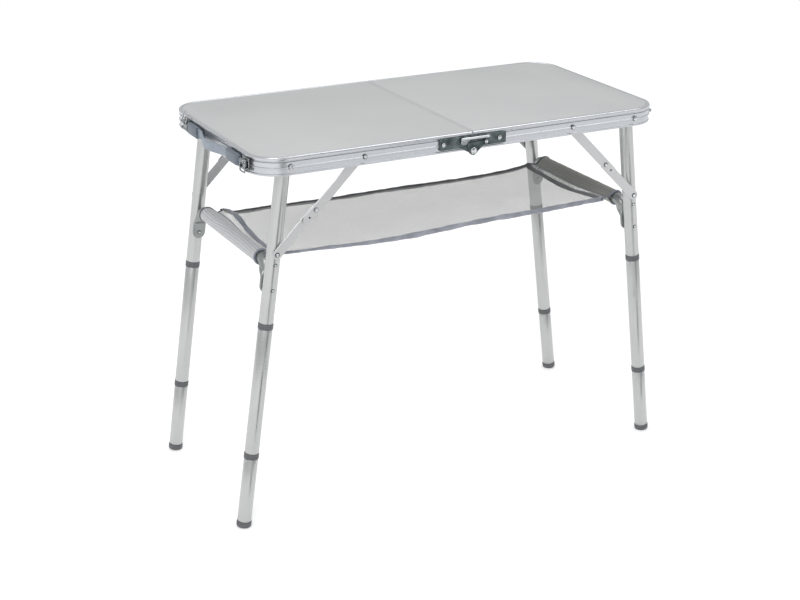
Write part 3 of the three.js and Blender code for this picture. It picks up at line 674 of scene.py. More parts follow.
LOOKS = {
    "frame": ("satin_aluminium", satin_aluminium("frame_aluminium_look", 0.59, (0.955, 0.992, 1.04), 0.26)),
    "legs": ("satin_aluminium", satin_aluminium("leg_aluminium_look", 0.54, (0.985, 1.0, 1.0), 0.30, 0.9)),
    "bar": ("satin_aluminium", satin_aluminium("bar_aluminium_look", 0.34, (0.94, 1.0, 0.99), 0.36)),
    "links": ("satin_aluminium", satin_aluminium("link_aluminium_look", 0.60, (0.985, 1.0, 1.01), 0.34)),
    "trim": ("satin_aluminium", satin_aluminium("trim_aluminium_look", 0.56, (0.985, 1.0, 1.01), 0.4, 0.5)),
    "rivet": ("bright_plating", rivet_steel()),
    "latch": ("bright_plating", plating(
        "latch_plating_look", (0.13, 0.145, 0.15), (0.48, 0.50, 0.51), 0.2)),
    "top": ("top_laminate", laminate()),
    "zinc": ("dark_zinc", dark_zinc()),
    "plating": ("bright_plating", plating(
        "bright_plating_look", (0.40, 0.42, 0.44), (0.72, 0.74, 0.75), 0.15)),
    "collar": ("collar_plastic", moulded_plastic("collar_plastic_look", (0.105, 0.110, 0.118), 0.45)),
    "grip": ("handle_plastic", moulded_plastic("handle_grip_look", (0.265, 0.305, 0.355), 0.42)),
    "cover": ("handle_plastic", moulded_plastic("handle_cover_look", (0.125, 0.152, 0.186), 0.38)),
    "net": ("shelf_mesh", net_cloth("shelf_net_look", (0.50, 0.50, 0.49), 0.38)),
    "left_sleeve": ("shelf_mesh", sleeve_net(
        "left_sleeve_net_look", (0.64, 0.65, 0.67), (0.82, 0.82, 0.80), 0.7)),
    # painted shade: the right sleeve is the same cloth as the left, its tube colour darkened for the shade
    # under the table
    "right_sleeve": ("shelf_mesh", sleeve_net(
        "right_sleeve_net_painted_shade_look", (0.33, 0.33, 0.305), (0.80, 0.80, 0.78), 0.25)),
    # one webbing in three tones: the pale copy is painted light for the front binding, the dark copy
    # painted shade for the back binding, the right seam tape and the back piping
    "tape": ("shelf_mesh", webbing("shelf_tape_look", (0.26, 0.28, 0.33))),
    "painted_light_tape": ("shelf_mesh", webbing("painted_light_tape_look", (0.36, 0.375, 0.43))),
    "painted_shade_tape": ("shelf_mesh", webbing("painted_shade_tape_look", (0.125, 0.130, 0.14))),
}

# ---------------------------------------------------------------- top halves

SIDES = ("left", "right")
PLACES = ("front", "back")
HERE = Matrix.Identity(4)


def side_way(side):
    """Which way a side lies along X."""
    return -1 if side == "left" else 1


def place_way(place):
    """Which way a place lies along Y."""
    return -1 if place == "front" else 1


def half_place(side):
    """Turns the left half's drawing into the right half's."""
    return HERE if side == "left" else Matrix.Rotation(math.pi, 4, "Z")


def hand(side, place):
    """Which way that place lies along Y in the half's own drawing."""
    return place_way(place) * -side_way(side)


def half_path(inset, steps=18):
    """The half's outline drawn in by inset: points with the way inwards at each."""
    straight_x = -(END_X - CORNER_RADIUS)
    straight_y = FACE_Y - CORNER_RADIUS
    radius = CORNER_RADIUS - inset
    path = [(Vector((-FOLD_X, -FACE_Y + inset)), Vector((0, 1)))]
    for y, start, end in ((-straight_y, 270, 180), (straight_y, 180, 90)):
        for point in arc(straight_x, y, radius, start, end, steps):
            path.append((point, (Vector((straight_x, y)) - point).normalized()))
    path.append((Vector((-FOLD_X, FACE_Y - inset)), Vector((0, -1))))
    return path


def frame_section():
    """The extrusion's section, with the rounded bead along its upper edge."""
    height = TOP - FRAME_BOTTOM
    radius = BEAD["radius"]
    bead = [(radius - p.x, p.y) for p in arc(0, height - radius, radius, 0, 90, 6)]
    return FRAME_LIP + FRAME_RIB + FRAME_GROOVE + bead + [(BEAD["flat_end"], height)] + FRAME_INSIDE


def make_frame(side):
    """The edge extrusion, bent round the half's corners."""
    section = frame_section()
    rows = []
    for point, inward in half_path(0):
        row = []
        for inset, height in section:
            at = point + inward * inset
            row.append(Vector((at.x, at.y, FRAME_BOTTOM + height)))
        rows.append(row)
    piece(f"{side}_edge_frame", [skin(rows)], half_place(side), "frame", f"{side}_half", [f"{side}_frame"])


def make_panel(side):
    """The board inside the frame, its upper edge eased."""
    low, high = PANEL_LOW.z, PANEL_HIGH.z
    ease = 0.45
    rows = []
    for inset, z in ((0, low), (0, high - ease), (ease * 0.35, high - ease * 0.3), (ease, high)):
        rows.append([
            Vector((min(point.x, PANEL_HIGH.x - inset), point.y, z))
            for point, _ in half_path(RIM_WIDTH + GAP + inset)
        ])
    piece(f"{side}_top_board", [skin(rows)], half_place(side), "top", f"{side}_half", [f"{side}_panel"])


def make_fold_trim(side):
    """A thin metal strip along each board's edge at the fold, with a low bead next to the gap."""
    half = FACE_Y - RIM_WIDTH - GAP
    inner = -FOLD_TRIM["inner"]
    bead = FOLD_TRIM["bead"]
    far = inner - FOLD_TRIM["width"]
    sunk = PANEL_HIGH.z - 0.3
    crest = PANEL_HIGH.z + FOLD_TRIM["rise"]
    step = PANEL_HIGH.z + FOLD_TRIM["step"]
    section = [
        (inner, sunk), (inner, PANEL_HIGH.z + FOLD_TRIM["rise"] * 0.6), (inner - bead * 0.3, crest),
        (inner - bead * 0.7, crest), (inner - bead, step), (far + 0.3, step), (far, sunk),
    ]
    rows = [[Vector((x, y, z)) for x, z in section] for y in (-half, half)]
    piece(f"{side}_fold_trim", [skin(rows)], half_place(side), "trim", f"{side}_half")


def make_leg_pivot(side, place):
    """Domed head outside the frame, bush between the frame and the leg, clinched end inside the leg."""
    way = hand(side, place)
    out = FACE_Y + 0.1
    leg_out = LEG_Y + LEG_RADIUS + GAP
    leg_in = LEG_Y - LEG_RADIUS - GAP
    bush_out = FACE_Y - FRAME_WALL - 2 * GAP
    shank = 4
    bush = 7
    clinch = 6
    profile = [(1.0, leg_in - 1.6), (clinch - 0.6, leg_in - 1.5), (clinch, leg_in - 0.9), (clinch, leg_in)]
    profile += [(shank, leg_in), (shank, leg_out), (bush - 0.4, leg_out), (bush, leg_out + 0.4)]
    profile += [(bush, bush_out - 0.4), (bush - 0.4, bush_out), (shank, bush_out), (shank, out)]
    part = lathe(profile, sides=32).moved(facing(0, 0, 0, way))
    head = rivet(0, 0, out, way, **PIVOT_HEAD)
    spot = half_place(side) @ Matrix.Translation(PIVOT)
    piece(f"{side}_{place}_leg_pivot_pin", [part, head], spot, "rivet", f"{side}_half",
          [f"{side}_leg_pivot_{place}"])


# ---------------------------------------------------------------- leg pairs


def leg_place(side):
    """The leg pair's own frame: the pivot axis through the origin, the legs down -Z."""
    return half_place(side) @ Matrix.Translation(PIVOT) @ Matrix.Rotation(LEG_TILT, 4, "Y")


def on_leg(part, side, place):
    """Moves a part from the middle of the pivot axis to one leg."""
    return part.moved(Matrix.Translation((0, hand(side, place) * LEG_Y, 0)))


def upper_leg():
    """Open below for the extension; solid and rounded over at the pivot."""
    foot = -UPPER_LEG + GAP
    rows = [ring(LEG_BORE, -LEG_PLUG), ring(LEG_BORE, foot + 0.5), ring(LEG_BORE + 0.3, foot)]
    rows += [ring(LEG_RADIUS - 0.3, foot), ring(LEG_RADIUS, foot + 0.4)]
    for i in range(8):
        height = LEG_RADIUS * math.sin(math.radians(11.5 * i))
        reach = math.sqrt(LEG_RADIUS ** 2 - height ** 2)
        rows.append(ring(LEG_RADIUS, height, narrow=reach))
    return skin(rows)


def leg_tube(top, bottom):
    """A tube with its cut ends eased."""
    outside = [(LEG_RADIUS - 0.3, -top), (LEG_RADIUS, -top - 0.4), (LEG_RADIUS, -bottom + 0.4)]
    inside = [(LEG_RADIUS - 0.3, -bottom), (LEG_BORE + 0.2, -bottom), (LEG_BORE, -bottom + 0.3)]
    return lathe(outside + inside + [(LEG_BORE, -top - 0.3), (LEG_BORE + 0.2, -top)], closed=True)


def collar(top):
    """A moulded ring with two shallow grooves, and a spigot up and down into the tubes."""
    radius = COLLAR["radius"]
    spigot = COLLAR["spigot"]
    bottom = top + COLLAR["height"]
    profile = [(spigot - 1.5, -top + COLLAR["up"]), (spigot, -top + COLLAR["up"] - 1.5), (spigot, -top)]
    profile += [(radius - 0.8, -top), (radius, -top - 0.8)]
    for groove in (0.34, 0.66):
        middle = -top - COLLAR["height"] * groove
        profile += [(radius, middle + 0.6), (radius - 0.25, middle), (radius, middle - 0.6)]
    profile += [(radius, -bottom + 0.9), (radius - 0.7, -bottom), (spigot, -bottom)]
    profile += [(spigot, -bottom - COLLAR["down"] + 1.5), (spigot - 1.5, -bottom - COLLAR["down"])]
    return lathe(profile)


def foot_cap():
    """A plug with a rounded cap below the tube, cut level with the floor."""
    top = LEG_LENGTH - FOOT["height"]
    radius = FOOT["radius"]
    bend = FOOT["round"]
    profile = [(COLLAR["spigot"] - 1, -top + COLLAR["down"]), (COLLAR["spigot"], -top + COLLAR["down"] - 1)]
    profile += [(COLLAR["spigot"], -top), (radius - 0.6, -top), (radius, -top - 0.6)]
    for point in arc(radius - bend, -LEG_LENGTH + bend - 0.6, bend, 0, -90, 7):
        profile.append((point.x, point.y))
    return lathe(profile)


def crimps(top, turns):
    """Small pressed dimples that hold a tube on its collar."""
    parts = []
    for turn in turns:
        outward = Matrix.Rotation(math.radians(turn), 4, "Z")
        spot = outward @ Matrix.Translation((LEG_RADIUS - 0.05, 0, -top - CRIMP["below"]))
        facing_out = spot @ Matrix.Rotation(math.pi / 2, 4, "Y")
        parts.append(dome(CRIMP["radius"], CRIMP["rise"], 0.3, 4).moved(facing_out))
    return parts


CRIMP_TURNS = (20, 110, 200, 290)


def make_leg(side, place):
    """One leg, from its upper tube down to its foot."""
    corner = f"{side}_{place}"
    first = UPPER_LEG
    second = UPPER_LEG + COLLAR["height"] + MIDDLE_LEG
    first_tube = first + COLLAR["height"] + GAP
    second_tube = second + COLLAR["height"] + GAP
    tube_end = LEG_LENGTH - FOOT["height"] - GAP
    spot = leg_place(side)
    extension = f"{corner}_extension"
    end_piece = f"{corner}_end_piece"
    pieces = [
        ("upper_leg_tube", [upper_leg()], "legs", f"{side}_leg_frame", "upper_leg"),
        ("upper_collar_ring", [collar(first)], "collar", extension, "upper_collar"),
        ("middle_leg_tube", [leg_tube(first_tube, second - GAP)], "legs", extension, "middle_leg"),
        ("lower_collar_ring", [collar(second)], "collar", end_piece, "lower_collar"),
        ("lower_leg_tube", [leg_tube(second_tube, tube_end)], "legs", end_piece, "lower_leg"),
        ("foot_cap", [foot_cap()], "collar", end_piece, "foot"),
        ("upper_crimps", crimps(first_tube, CRIMP_TURNS), "plating", extension, None),
        ("lower_crimps", crimps(second_tube, CRIMP_TURNS), "plating", end_piece, None),
    ]
    for name, parts, look, body, node in pieces:
        placed = [on_leg(part, side, place) for part in parts]
        stands_for = [f"{corner}_{node}"] if node else []
        piece(f"{corner}_{name}", placed, spot, look, body, stands_for, above_floor=node == "foot")


def bar_row(y, down, slope, half_wide, half_thick, squareness, sides=32):
    """One section of the crossbar. slope is how far it has bent down, in radians."""
    thick_way = Vector((0, math.sin(slope), math.cos(slope)))
    power = 2 / squareness
    row = []
    for c, s in round_steps(sides):
        middle = Vector((bulged(c, power) * half_wide, y, -down))
        row.append(middle + thick_way * (bulged(s, power) * half_thick))
    return row


def bar_end_rows():
    """From the middle of one bend to the rounded tip of its flattened end, at +Y."""
    rows = []
    straight = BAR_END_Y - BAR_BEND
    for i in range(10):
        angle = math.radians(10 * i)
        y = straight + BAR_BEND * math.sin(angle)
        down = BAR_DOWN + BAR_BEND * (1 - math.cos(angle))
        rows.append(bar_row(y, down, angle, BAR_RADIUS, BAR_RADIUS, 2))
    start = BAR_DOWN + BAR_BEND
    strip_y = STRIP["out"] - STRIP["thickness"] / 2
    for i in range(1, 7):
        t = i / 6
        share = t * t * (3 - 2 * t)
        wide = BAR_RADIUS + (STRIP["width"] / 2 - BAR_RADIUS) * share
        thick = BAR_RADIUS + (STRIP["thickness"] / 2 - BAR_RADIUS) * share
        # the side against the leg runs straight down, and the other side comes in to it
        y = BAR_END_Y + (strip_y - BAR_END_Y) * share
        down = start + (STRIP["flat_from"] - start) * t
        rows.append(bar_row(y, down, math.pi / 2, wide, thick, 2 + 3 * share))
    half = STRIP["width"] / 2
    for angle in (0, 20, 40, 55, 68, 78, 85):
        turn = math.radians(angle)
        down = STRIP["bottom"] - half + half * math.sin(turn)
        rows.append(bar_row(strip_y, down, math.pi / 2, half * math.cos(turn), STRIP["thickness"] / 2, 5))
    return rows


def make_crossbar(side):
    """The bar under the shelf's sleeve, and the rivets through its flattened ends."""
    ends = bar_end_rows()
    mirror = Matrix.Scale(-1, 4, (0, 1, 0))
    rows = [[mirror @ point for point in row] for row in reversed(ends)] + ends
    rivets = []
    for way in (-1, 1):
        for down in BAR_RIVETS:
            rivets.append(rivet(0, -down, LEG_Y + LEG_RADIUS - HEAD_SEAT, way, **BAR_HEAD))
        inner = Matrix.Translation((0, way * (STRIP["out"] - STRIP["thickness"]), -BAR_RIVETS[-1]))
        rivets.append(dome(**BAR_INNER_HEAD).moved(inner @ Matrix.Rotation(way * math.pi / 2, 4, "X")))
    spot = leg_place(side)
    body = f"{side}_leg_frame"
    piece(f"{side}_shelf_bar", [skin(rows)], spot, "bar", body, [f"{side}_crossbar"])
    piece(f"{side}_shelf_bar_rivets", rivets, spot, "rivet", body)


# ---------------------------------------------------------------- braces

brace_reach = BRACE_LOW - BRACE_TOP
BRACE_ANGLE = math.atan2(-brace_reach.z, -brace_reach.x)
BRACE_SPAN = math.hypot(brace_reach.x, brace_reach.z)
BRACE_LEG_DOWN = (Vector((BRACE_LOW.x, 0, BRACE_LOW.z)) - Vector((PIVOT.x, 0, PIVOT.z))).length
PIN_DIFFERENCE = BRACE_LEG_DOWN - (BRACE_TOP.x - PIVOT.x)
UPPER_LINK = (BRACE_SPAN + PIN_DIFFERENCE) / 2
LOWER_LINK = (BRACE_SPAN - PIN_DIFFERENCE) / 2


def flat_link(length, face, way):
    """A flat strip with round ends and crisp eased edges."""
    return plate(capsule(0, length, LINK_WIDTH / 2), way * face, way * (face + LINK_THICKNESS), 0.45)


def make_braces(side, place):
    """The two links of one toggle brace, each with its rivet heads."""
    way = hand(side, place)
    tail = UPPER_LINK + LINK_TAIL
    outer = UPPER_LINK_Y + LINK_THICKNESS
    upper = [flat_link(tail, UPPER_LINK_Y, way)]
    heads = [
        rivet(UPPER_LINK, 0, outer, way), rivet(tail - STOP_FROM_TAIL, 0, outer, way, **STOP_HEAD),
        rivet(0, 0, FACE_Y + 0.1, way, **BRACE_FRAME_HEAD), rivet(0, 0, outer, way, **BRACE_LINK_HEAD),
    ]
    turn = Matrix.Rotation(math.pi - BRACE_ANGLE, 4, "Y")
    spot = half_place(side) @ Matrix.Translation((BRACE_TOP.x, 0, BRACE_TOP.z)) @ turn
    body = f"{side}_{place}_upper_brace"
    piece(f"{side}_{place}_brace_upper_strip", upper, spot, "links", body, [f"{side}_upper_link_{place}"])
    piece(f"{side}_{place}_brace_upper_rivets", heads, spot, "rivet", body)

    lower = [flat_link(LOWER_LINK, LOWER_LINK_Y, way)]
    face = LOWER_LINK_Y + LINK_THICKNESS
    shank_reach = LOWER_LINK_Y - LEG_Y - LEG_BORE + 3
    shank = lathe([(3, -shank_reach), (3, 0.2)]).moved(facing(0, way * LOWER_LINK_Y, 0, way))
    heads = [shank] + [rivet(x, 0, face, way, rise=LOW_HEAD) for x in (0, LOWER_LINK)]
    spot = leg_place(side) @ Matrix.Translation((0, 0, -BRACE_LEG_DOWN))
    spot = spot @ Matrix.Rotation(-BRACE_ANGLE - LEG_TILT, 4, "Y")
    body = f"{side}_{place}_lower_brace"
    piece(f"{side}_{place}_brace_lower_strip", lower, spot, "links", body, [f"{side}_{place}_lower_link"])
    piece(f"{side}_{place}_brace_lower_rivets", heads, spot, "rivet", body)


# ---------------------------------------------------------------- centre hinges

PLATE_IN = FACE_Y + GAP
PLATE_OUT = PLATE_IN + PLATE_THICKNESS
PLATE_TOP = PLATE_BOTTOM + PLATE_HEIGHT
PLATE_CORNER = 1.6
PLATE_EASE = 0.45
LEFT_LEAF = (-PLATE_END, 8)  # from its far end to its end at the fold
RIGHT_LEAF = (EAR_RADIUS + 1.5, PLATE_END)
EAR_EASE = 0.4
EAR_IN = PLATE_IN + PLATE_THICKNESS + GAP
EAR_OUT = EAR_IN + PLATE_THICKNESS
LOCK_IN = EAR_IN + PLATE_THICKNESS + GAP
PLATE_RIVET_Z = PLATE_BOTTOM + 10
PLATE_RIVET = {"radius": 4.4, "rise": 2.4}


def ear_outline(root):
    """Two slanting sides down to a round end about the hinge pin."""
    left, right, top_left, top_right = root
    tip = arc(0, HINGE_Z, EAR_RADIUS, 205, 335, 12)
    return tip + [Vector((right, top_right)), Vector((left, top_left))]


def hinge_leaf(ends, way):
    """The flat plate of one half, on the frame's face."""
    first, last = ends
    corners = [(first, PLATE_BOTTOM), (last, PLATE_BOTTOM), (last, PLATE_TOP), (first, PLATE_TOP)]
    return plate(eased(corners, PLATE_CORNER), way * PLATE_IN, way * PLATE_OUT, PLATE_EASE)


def make_left_leaf(place, way):
    """The plate with an ear behind."""
    ear = ear_outline((-27, 0, PLATE_BOTTOM + 1, PLATE_BOTTOM + 1))
    parts = [hinge_leaf(LEFT_LEAF, way), plate(ear, way * PLATE_IN, way * PLATE_OUT, EAR_EASE)]
    piece(f"left_{place}_hinge_leaf", parts, HERE, "zinc", "left_half", [f"left_hinge_plate_{place}"])


def make_right_leaf(place, way):
    """The plate with an ear in front, and a block that joins the two."""
    ear = ear_outline((-15, 29, PLATE_BOTTOM + 8.5, PLATE_BOTTOM + 9))
    root_out = way * EAR_OUT - way * 0.5  # set back, so that it doesn't share the ear's face
    parts = [
        hinge_leaf(RIGHT_LEAF, way), plate(ear, way * EAR_IN, way * EAR_OUT, EAR_EASE),
        block(16, 28.5, way * PLATE_IN, root_out, PLATE_BOTTOM + 0.5, PLATE_BOTTOM + 8.5, 0.6),
    ]
    piece(f"right_{place}_hinge_leaf", parts, HERE, "zinc", "right_half", [f"right_hinge_plate_{place}"])


def make_hinge_rivets(place, way):
    """The hinge pin's head and a rivet on the left leaf, and two rivets on the right leaf."""
    pin_face = LOCK_IN + 0.05
    pin_spot = facing(0, way * pin_face, HINGE_Z, way)
    left_heads = [
        dome(6.2, 1.7, pin_face - PLATE_IN).moved(pin_spot),
        lathe([(6.6, -0.6), (6.6, 0.3), (6.2, 0.5), (3.5, 0.5)]).moved(pin_spot),
        rivet(-59, PLATE_RIVET_Z, PLATE_OUT, way, **PLATE_RIVET),
    ]
    right_heads = [
        rivet(24.5, PLATE_RIVET_Z - 3, EAR_OUT, way, 4.2, 1.9),
        rivet(52.5, PLATE_RIVET_Z, PLATE_OUT, way, **PLATE_RIVET),
    ]
    piece(f"left_{place}_hinge_rivets", left_heads, HERE, "rivet", "left_half")
    piece(f"right_{place}_hinge_rivets", right_heads, HERE, "rivet", "right_half")


def make_hinge(place):
    """One centre hinge with its lock bar."""
    way = place_way(place)
    make_left_leaf(place, way)
    make_right_leaf(place, way)
    make_hinge_rivets(place, way)
    make_lock_bar(place, way)


def make_lock_bar(place, way):
    """A slim bright bar over the joint, on a darker pressed tab that turns on its pin."""
    bar_z = TOP - 10.5
    pin_x, pin_z = LOCK_PIN
    bar = eased([
        (-25, bar_z - 1.2), (30, bar_z - 1.9), (32, bar_z), (30, bar_z + 2.6), (-25, bar_z + 2.6),
    ], 1.6)
    tab = eased([
        (-26, bar_z + 2.8), (-26, bar_z - 2), (pin_x - 4.5, pin_z - 3.4), (pin_x + 3.5, pin_z - 4.2),
        (-8, bar_z - 2.6), (-8, bar_z + 2.8),
    ], 2.2)
    inner = way * LOCK_IN
    outer = way * (LOCK_IN + 1.0)
    head = rivet(pin_x, pin_z, LOCK_IN + 1.0, way, 2.9, 0.9)
    shank = lathe([(2.5, -3.5), (2.5, 0)]).moved(facing(pin_x, inner, pin_z, way))
    body = f"lock_{place}"
    parts = [plate(tab, inner, outer, 0.3), head, shank]
    piece(f"{place}_lock_tab", parts, HERE, "latch", body, [f"lock_bar_{place}"])
    strip = plate(bar, outer - way * 0.3, outer + way * 0.5, 0.3)
    piece(f"{place}_lock_strip", [strip], HERE, "plating", body)


# ---------------------------------------------------------------- handle and latches

FITTING_Z = TOP - 16.5
END_FACE = -END_X - GAP  # the backs of the fittings on the end
cap_low, cap_high = low_high("handle_cap_back")
CAP = {
    "length": cap_high.y - cap_low.y, "depth": cap_high.x - cap_low.x, "half": (cap_high.z - cap_low.z) / 2,
}
near_cap_low = low_high("handle_cap_front")[0]
HANDLE_Y = (near_cap_low.y + cap_high.y) / 2
HANDLE_HALF = (cap_high.y - near_cap_low.y) / 2
CAP_INNER = HANDLE_HALF - CAP["length"]
STRAP = {"thickness": 3.2, "half": 8.4, "bow": 14, "in": 2.15, "tongue": 20, "lead": 2}


def make_handle_cap(place):
    """A moulded cover: rounded over the top and bottom, falling away at its closed end."""
    way = place_way(place)
    rows = []
    stations = [(0, 0.96), (1.0, 1.0), (0.5 * CAP["length"], 1.0)]
    for i in range(7):
        angle = math.radians(15 * i)
        stations.append((CAP["length"] - 10 + 10 * math.sin(angle), 0.34 + 0.66 * math.cos(angle) ** 0.7))
    for along, share in stations:
        depth = CAP["depth"] * share
        half = CAP["half"] * (0.72 + 0.28 * share)
        section = eased([(0, -half), (-depth, -half), (-depth, half), (0, half)], 3.2 * share, 5)
        y = HANDLE_Y + way * (CAP_INNER + along)
        rows.append([Vector((END_FACE + point.x, y, FITTING_Z + point.y)) for point in section])
    piece(f"{place}_handle_cover", [skin(rows)], HERE, "cover", "left_half", [f"handle_cap_{place}"])


def strap_bow(y):
    """How far the strap bows out, that far from its middle."""
    share = min(1.0, abs(y) / (CAP_INNER - STRAP["lead"]))
    return STRAP["bow"] * (0.5 + 0.5 * math.cos(math.pi * share))


def make_handle_strap():
    """The grip: a flexible strip that bows out between its two covers."""
    reach = CAP_INNER + STRAP["tongue"]
    half = STRAP["half"]
    thick = STRAP["thickness"] / 2
    section = eased([(-thick, -half), (thick, -half), (thick, half), (-thick, half)], 1.3, 3)
    rows = []
    for y in spread(-reach, reach, 44):
        middle = -END_X - STRAP["in"] - thick - strap_bow(y)
        rows.append([Vector((middle + p.x, HANDLE_Y + y, FITTING_Z + p.y)) for p in section])
    piece("handle_grip", [skin(rows)], HERE, "grip", "left_half", ["handle_strap"])


# painted shade: the front loop has the darker latch plating for where it hangs under the edge; the back
# loop has the bright plating
LATCHES = [
    {"place": "back", "y": 112, "tilt": 20, "loop": "plating"},
    {"place": "front", "y": -152, "tilt": 180, "loop": "latch"},
]
LATCH_HALF = 13
LATCH_PLATE = 1.5  # how thick its base and ears are
LEVER_HALF = 8.3
LEVER_PIVOT = joint_place("latch_lever_back_swing")
BARREL = joint_place("latch_loop_back_tilt")
LOOP_WIRE = 1.2
LOOP_HALF = 10
LOOP_LENGTH = 18.5
CATCH = {"half": 10, "height": 20, "out": 6, "shelf": 4.5, "plate": 1.5, "lip": 5.5}


def across(radius, half, x, z, ease=0.3):
    """A round bar along Y about the middle."""
    profile = [(radius - ease, -half), (radius, -half + ease), (radius, half - ease), (radius - ease, half)]
    return lathe(profile, sides=24).moved(facing(x, 0, z, 1))


def end_head(y, z):
    """A small rivet head on a fitting's plate, facing out from the end."""
    spot = Matrix.Translation((END_FACE - 1.4, y, z))
    return dome(2.0, 0.8).moved(spot @ Matrix.Rotation(-math.pi / 2, 4, "Y"))


def latch_base():
    """A plate with two ears for the lever's pin, and two rivet heads."""
    bottom, top = FITTING_Z - 11, FITTING_Z + 11
    parts = [block(END_FACE - LATCH_PLATE, END_FACE, -LATCH_HALF, LATCH_HALF, bottom, top, 0.5)]
    tip = LEVER_PIVOT.x - 2.9
    ear = eased([
        (END_FACE, LEVER_PIVOT.z - 4.4), (tip, LEVER_PIVOT.z - 2.2),
        (tip, LEVER_PIVOT.z + 2.9), (END_FACE, LEVER_PIVOT.z + 2.9),
    ], 2.2)
    for low in (-LATCH_HALF, LATCH_HALF - LATCH_PLATE):
        parts.append(plate(ear, low, low + LATCH_PLATE, 0.25))
    return parts + [end_head(y, top - 4) for y in (-7.5, 7.5)]


def latch_lever():
    """The arm, its pin and knuckle, and the barrel that carries the loop."""
    x, z = LEVER_PIVOT.x, LEVER_PIVOT.z
    return [
        block(x - 0.8, x + 0.8, -LEVER_HALF, LEVER_HALF, z - 1, z + 15.5, 0.5),
        across(1.4, LATCH_HALF, x, z), across(2.2, LEVER_HALF, x, z), across(2.9, 8, BARREL.x, BARREL.z),
    ]


def latch_loop():
    """A closed wire, drawn up from the barrel."""
    half, length = LOOP_HALF, LOOP_LENGTH
    path = eased([(-half, 0), (half, 0), (half, length), (-half, length)], 3.2, 6)
    return wire([Vector((0, point.x, point.y)) for point in path], LOOP_WIRE, closed=True)


def make_latch(latch):
    """A draw latch on the left end: base, lever and wire loop."""
    place = latch["place"]
    spot = Matrix.Translation((0, latch["y"], 0))
    turn = Matrix.Translation(BARREL) @ Matrix.Rotation(math.radians(latch["tilt"]), 4, "Y")
    piece(f"{place}_latch_plate", latch_base(), spot, "latch", "left_half", [f"latch_base_{place}"])
    piece(f"{place}_latch_arm", latch_lever(), spot, "latch", f"lever_{place}", [f"latch_lever_{place}"])
    piece(f"{place}_latch_wire", [latch_loop()], spot @ turn, latch["loop"], f"loop_{place}",
          [f"latch_loop_{place}"])


def catch_hook():
    """The section of a plate with a turned-up hook near its foot."""
    plate_out = END_FACE - CATCH["plate"]
    bottom = TOP - 27
    top = bottom + CATCH["height"]
    out = END_FACE - CATCH["out"]
    lip_in = out + CATCH["plate"]
    shelf = bottom + CATCH["shelf"]
    tip = shelf + CATCH["lip"]
    floor = shelf + CATCH["plate"]
    corners = [
        (END_FACE, bottom), (END_FACE, top), (plate_out, top), (plate_out, shelf + 2.4),
        (END_FACE - 2.4, floor), (out + 2.4, floor), (lip_in, shelf + 2.2),
        (lip_in, tip), (out, tip), (out, shelf + 1), (out + 1, shelf),
        (plate_out, shelf), (plate_out, bottom),
    ]
    return [Vector(corner) for corner in corners]


def make_catch(latch):
    """A hooked plate on the right end, opposite its latch when the case is shut."""
    half = CATCH["half"]
    parts = [plate(catch_hook(), -half, half, 0.25)] + [end_head(y, TOP - 12) for y in (-5.5, 5.5)]
    spot = half_place("right") @ Matrix.Translation((0, -latch["y"], 0))
    piece(f"{latch['place']}_catch_hook", parts, spot, "plating", "right_half", [f"catch_{latch['place']}"])


# ---------------------------------------------------------------- mesh shelf

BAR_Z = (leg_place("left") @ Vector((0, 0, -BAR_DOWN))).z
EDGE_Y = 135
TAPE_WIDTH = 9
# how high the cloth stands against the bars' middle: along its two long edges, by X
FRONT_EDGE = [(-330, 3.4), (-262, 0.2), (-105, -5.5), (59, 0.2), (198, 2.3), (330, 5.0)]
BACK_EDGE = [
    (-330, 0.5), (-313, -7.0), (-234, -7.6), (-132, -9.6), (39, -8.0), (151, -9.4),
    (267, -6.5), (302, -4), (330, 0.5),
]
# and across at its two seams, by Y
LEFT_SEAM = [
    (-135, 3.4), (-67, -6.6), (-15, -6.3), (25, -0.2), (66, 9.0), (94, 9.7), (120, 6.0), (135, 0.5),
]
RIGHT_SEAM = [
    (-135, 5.0), (-120, 2.4), (-65, -3.6), (-23, -8.3), (35, -8.8), (87, -6.0), (120, -5.0), (135, 0.5),
]
FLAP_STEPS = 7
PIPING_RADIUS = 1.8
LAYER = 0.35  # half the distance between the sleeve's two layers
STITCH_RADIUS = 0.7
# the front binding has the painted-light tape, the back binding the painted-shade tape
# the bindings: how wide and thick to each side of their middle, which way they lie across, and their look
FRONT_TAPE = {"size": (5.2, 1.5, 0.45), "across": (0, 0.85, 0.53), "look": "painted_light_tape"}
BACK_TAPE = {"size": (3.4, 1.7), "across": (0, 0.6, 0.8), "look": "painted_shade_tape"}
TAPER_LENGTH = 220  # from the left seam, where a tape that starts narrow has its full width
# the right seam tape has the painted-shade tape
SEAM_TAPE = {"left": (6.5, "tape"), "right": (5.6, "painted_shade_tape")}
MID_SAG = 5.0
WRINKLE = 0.9
# the blends: where the cloth starts to leave one body and where it has reached the next
SIDE_BLEND = (375.7, 200)
MIDDLE_X = 200


def through(points, x):
    """A smooth curve through points, at x."""
    x = max(points[0][0], min(points[-1][0], x))
    index = max(i for i in range(len(points) - 1) if points[i][0] <= x)
    x0, y0 = points[index]
    x1, y1 = points[index + 1]
    before = points[max(index - 1, 0)]
    after = points[min(index + 2, len(points) - 1)]
    slope0 = (y1 - before[1]) / (x1 - before[0])
    slope1 = (after[1] - y0) / (after[0] - x0)
    width = x1 - x0
    t = (x - x0) / width
    return (
        y0 * (1 + 2 * t) * (1 - t) ** 2 + slope0 * width * t * (1 - t) ** 2
        + y1 * t * t * (3 - 2 * t) - slope1 * width * t * t * (1 - t)
    )


def seam_height(side, y):
    """How high the seam between the sleeve and the net stands."""
    return BAR_Z + through(LEFT_SEAM if side == "left" else RIGHT_SEAM, y)


